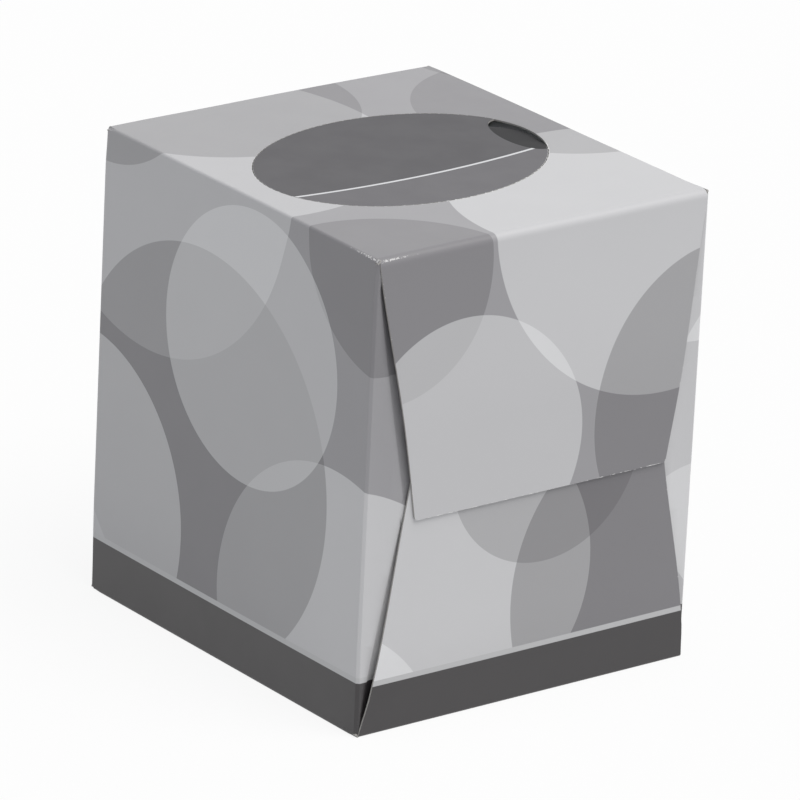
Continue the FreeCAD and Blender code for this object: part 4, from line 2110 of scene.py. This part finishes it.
@dataclass
class SeamGlue:
    """The flattened line of glue that closes the carton's tube."""

    sections: int = 90
    around: int = 12
    uneven: float = 0.35
    fill: float = 0.94

    def build(self, material: bpy.types.Material) -> bpy.types.Object:
        """Makes the line of glue.

        Args:
            material: the glue's finish.

        Returns:
            The finished piece.
        """
        low, high = (np.array(corner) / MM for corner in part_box("seam_glue"))
        middle, half = (low + high) / 2, (high - low) / 2
        share = np.linspace(-1.0, 1.0, self.sections)
        turn = np.linspace(0.0, FULL_TURN, self.around, endpoint=False)
        taper = np.clip(1 - np.abs(share) ** 14, 0.03, 1.0) ** 0.5
        width = (half[0] - self.uneven) * taper + self.uneven * np.sin(share * 31) * taper
        sway = self.uneven * 0.5 * np.sin(share * 17 + 1)
        rows = []
        for k in range(self.sections):
            x = middle[0] + sway[k] + width[k] * np.cos(turn)
            z = middle[2] + self.fill * half[2] * np.sign(np.sin(turn)) * np.abs(np.sin(turn)) ** 0.4
            rows.append(np.column_stack([x, np.full(self.around, middle[1] + half[1] * share[k]), z]))
        faces = [face[::-1] for face in tube_faces(self.sections, self.around)]
        piece = mesh_object("seam_line", np.vstack(rows), faces, (material,))
        shade_smooth(piece)
        finish_piece(piece, "seam_glue")
        return piece


# ---- Floor, light and camera


@dataclass(frozen=True)
class Studio:
    """Plain pale floor, soft light and the camera."""

    floor_half: float = 3.0
    floor_tone: tuple[float, float, float] = (0.75, 0.75, 0.75)
    floor_white: float = 0.9
    world: float = 0.5
    key: float = 2.29
    world_tint: tuple[float, float, float] = (0.94, 0.968, 1.01)
    key_from: tuple[float, float, float] = (0.137, -0.398, 0.907)
    key_angle: float = 40.0
    key_tint: tuple[float, float, float] = (1.02, 1.0, 0.97)
    camera_at: tuple[float, float, float] = (-1.1645, -1.4919, 0.7751)
    camera_right: tuple[float, float, float] = (0.797478, -0.601593, 0.045987)
    camera_up: tuple[float, float, float] = (0.178397, 0.307922, 0.934537)
    camera_back: tuple[float, float, float] = (-0.576371, -0.737068, 0.352883)
    lens: float = 357.5

    def white_to_camera(self, graph: Graph) -> Socket:
        """1 for the rays that should meet a white background.

        Args:
            graph: the nodes to add to.

        Returns:
            The mask.
        """
        path = graph.node("ShaderNodeLightPath")
        seen = graph.math("MAXIMUM", path.outputs["Is Camera Ray"], path.outputs["Is Glossy Ray"])
        return graph.math("MAXIMUM", seen, path.outputs["Is Transmission Ray"])

    def build_floor(self) -> None:
        """A wide floor that shows white and keeps a soft shadow."""
        h = self.floor_half / MM
        points = np.array([(-h, -h, 0.0), (h, -h, 0.0), (h, h, 0.0), (-h, h, 0.0)])
        material = bpy.data.materials.new("pale_floor")
        material.use_nodes = True
        material.node_tree.nodes.clear()
        graph = Graph(material.node_tree)
        matte = graph.node("ShaderNodeBsdfDiffuse")
        matte.inputs["Color"].default_value = (*self.floor_tone, 1.0)
        glow = graph.node("ShaderNodeEmission")
        both = graph.node("ShaderNodeMixShader")
        graph.put(both.inputs[0], graph.math("MULTIPLY", self.white_to_camera(graph), self.floor_white))
        graph.put(both.inputs[1], matte.outputs[0])
        graph.put(both.inputs[2], glow.outputs[0])
        graph.put(graph.node("ShaderNodeOutputMaterial").inputs[0], both.outputs[0])
        floor = mesh_object("floor", points, [(0, 1, 2, 3)], (material,))

    def build_world(self) -> None:
        """Even light from all round, with a white background for the camera."""
        world = bpy.data.worlds.new("studio")
        bpy.context.scene.world = world
        world.use_nodes = True
        graph = Graph(world.node_tree)
        back = world.node_tree.nodes["Background"]
        white = self.white_to_camera(graph)
        graph.put(back.inputs["Color"], graph.mix(white, (*self.world_tint, 1.0), WHITE))
        graph.put(back.inputs["Strength"], graph.blend(white, self.world, 1.0))

    def build_lamp(self) -> None:
        """The main soft light, from above and in front."""
        data = bpy.data.lights.new("key", "SUN")
        data.energy = self.key
        data.angle = math.radians(self.key_angle)
        data.color = self.key_tint
        lamp = bpy.data.objects.new("key", data)
        lamp.rotation_mode = "QUATERNION"
        lamp.rotation_quaternion = Vector(self.key_from).to_track_quat("Z", "Y")
        bpy.context.scene.collection.objects.link(lamp)

    def build_camera(self) -> None:
        """The camera at the photograph's angle."""
        data = bpy.data.cameras.new("camera")
        data.sensor_width = 36.0
        data.lens = self.lens
        data.clip_start, data.clip_end = 0.05, 20.0
        camera = bpy.data.objects.new("camera", data)
        turn = Matrix((self.camera_right, self.camera_up, self.camera_back)).transposed()
        camera.matrix_world = Matrix.Translation(self.camera_at) @ turn.to_4x4()
        bpy.context.scene.collection.objects.link(camera)
        bpy.context.scene.camera = camera

    def build(self) -> None:
        """Builds all of it."""
        self.build_floor()
        self.build_world()
        self.build_lamp()
        self.build_camera()
        bpy.context.scene.view_settings.view_transform = "Standard"


# ---- The print

L, D = Ink.LIGHT, Ink.DARK
ARTWORK = (
    Disc(38.0, -54.0, 53.0, L, 0.42),
    Disc(-46.0, 36.0, 58.0, L, 0.3),
    Disc(-20.0, 58.0, 40.0, D, 0.34),
    Disc(-49.0, -62.0, 33.0, D, 0.36),
    Disc(60.0, 14.0, 38.0, D, 0.3),
    Disc(-24.0, -112.0, 36.0, L, 0.36),
    Disc(58.0, -112.0, 42.0, D, 0.4),
    Disc(-156.0, -44.0, 46.0, L, 0.42),
    Disc(-124.0, 12.0, 54.0, D, 0.4),
    Disc(-90.0, -8.0, 36.0, L, 0.34),
    Disc(-150.0, 62.0, 44.0, L, 0.36),
    Disc(120.0, -12.0, 58.0, L, 0.4),
    Disc(152.0, 40.0, 44.0, D, 0.4),
    Disc(92.0, 62.0, 44.0, D, 0.3),
    Disc(160.0, -54.0, 36.0, L, 0.3),
    Disc(-6.0, 108.0, 48.0, L, 0.4),
    Disc(38.0, 124.0, 42.0, D, 0.38),
    Disc(-204.0, -92.0, 43.0, L, 0.45),
    Disc(-268.0, -84.0, 46.0, D, 0.42),
    Disc(-232.0, -124.0, 30.0, D, 0.3),
    Disc(-212.0, 98.0, 44.0, L, 0.42),
    Disc(-262.0, 112.0, 46.0, D, 0.38),
)


def main() -> None:
    """Builds the carton and what it holds, then the studio."""
    logging.basicConfig(level=logging.INFO, format="%(name)s %(message)s")
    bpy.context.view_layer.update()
    effects = Effects()
    carton = Carton()
    printed = PrintedBoard("printed_board", roughness=0.42, coat=0.15, coat_roughness=0.25, discs=ARTWORK,
                           band=carton.band_place(), oval=carton.oval_place()).build(effects)
    liner = BareBoard("board_liner", roughness=0.85).build(effects)
    cut = BareBoard("cut_edge", roughness=0.9, tone=Tone.CUT_EDGE, scale=2.0).build(effects)
    tissue = TissuePaper("tissue_paper", roughness=0.95).build(effects)
    glue = HotMelt("hot_melt", roughness=0.35).build(effects)
    film = ClearFilm("clear_film", roughness=0.12).build(effects)
    carton.build(printed, liner, cut)
    WindowFilm(carton).build(film)
    TissueStack().build(tissue)
    FlapGlue(carton).build(glue)
    SeamGlue().build(glue)
    Studio().build()
    bpy.context.view_layer.update()


if __name__ == "__main__":
    main()
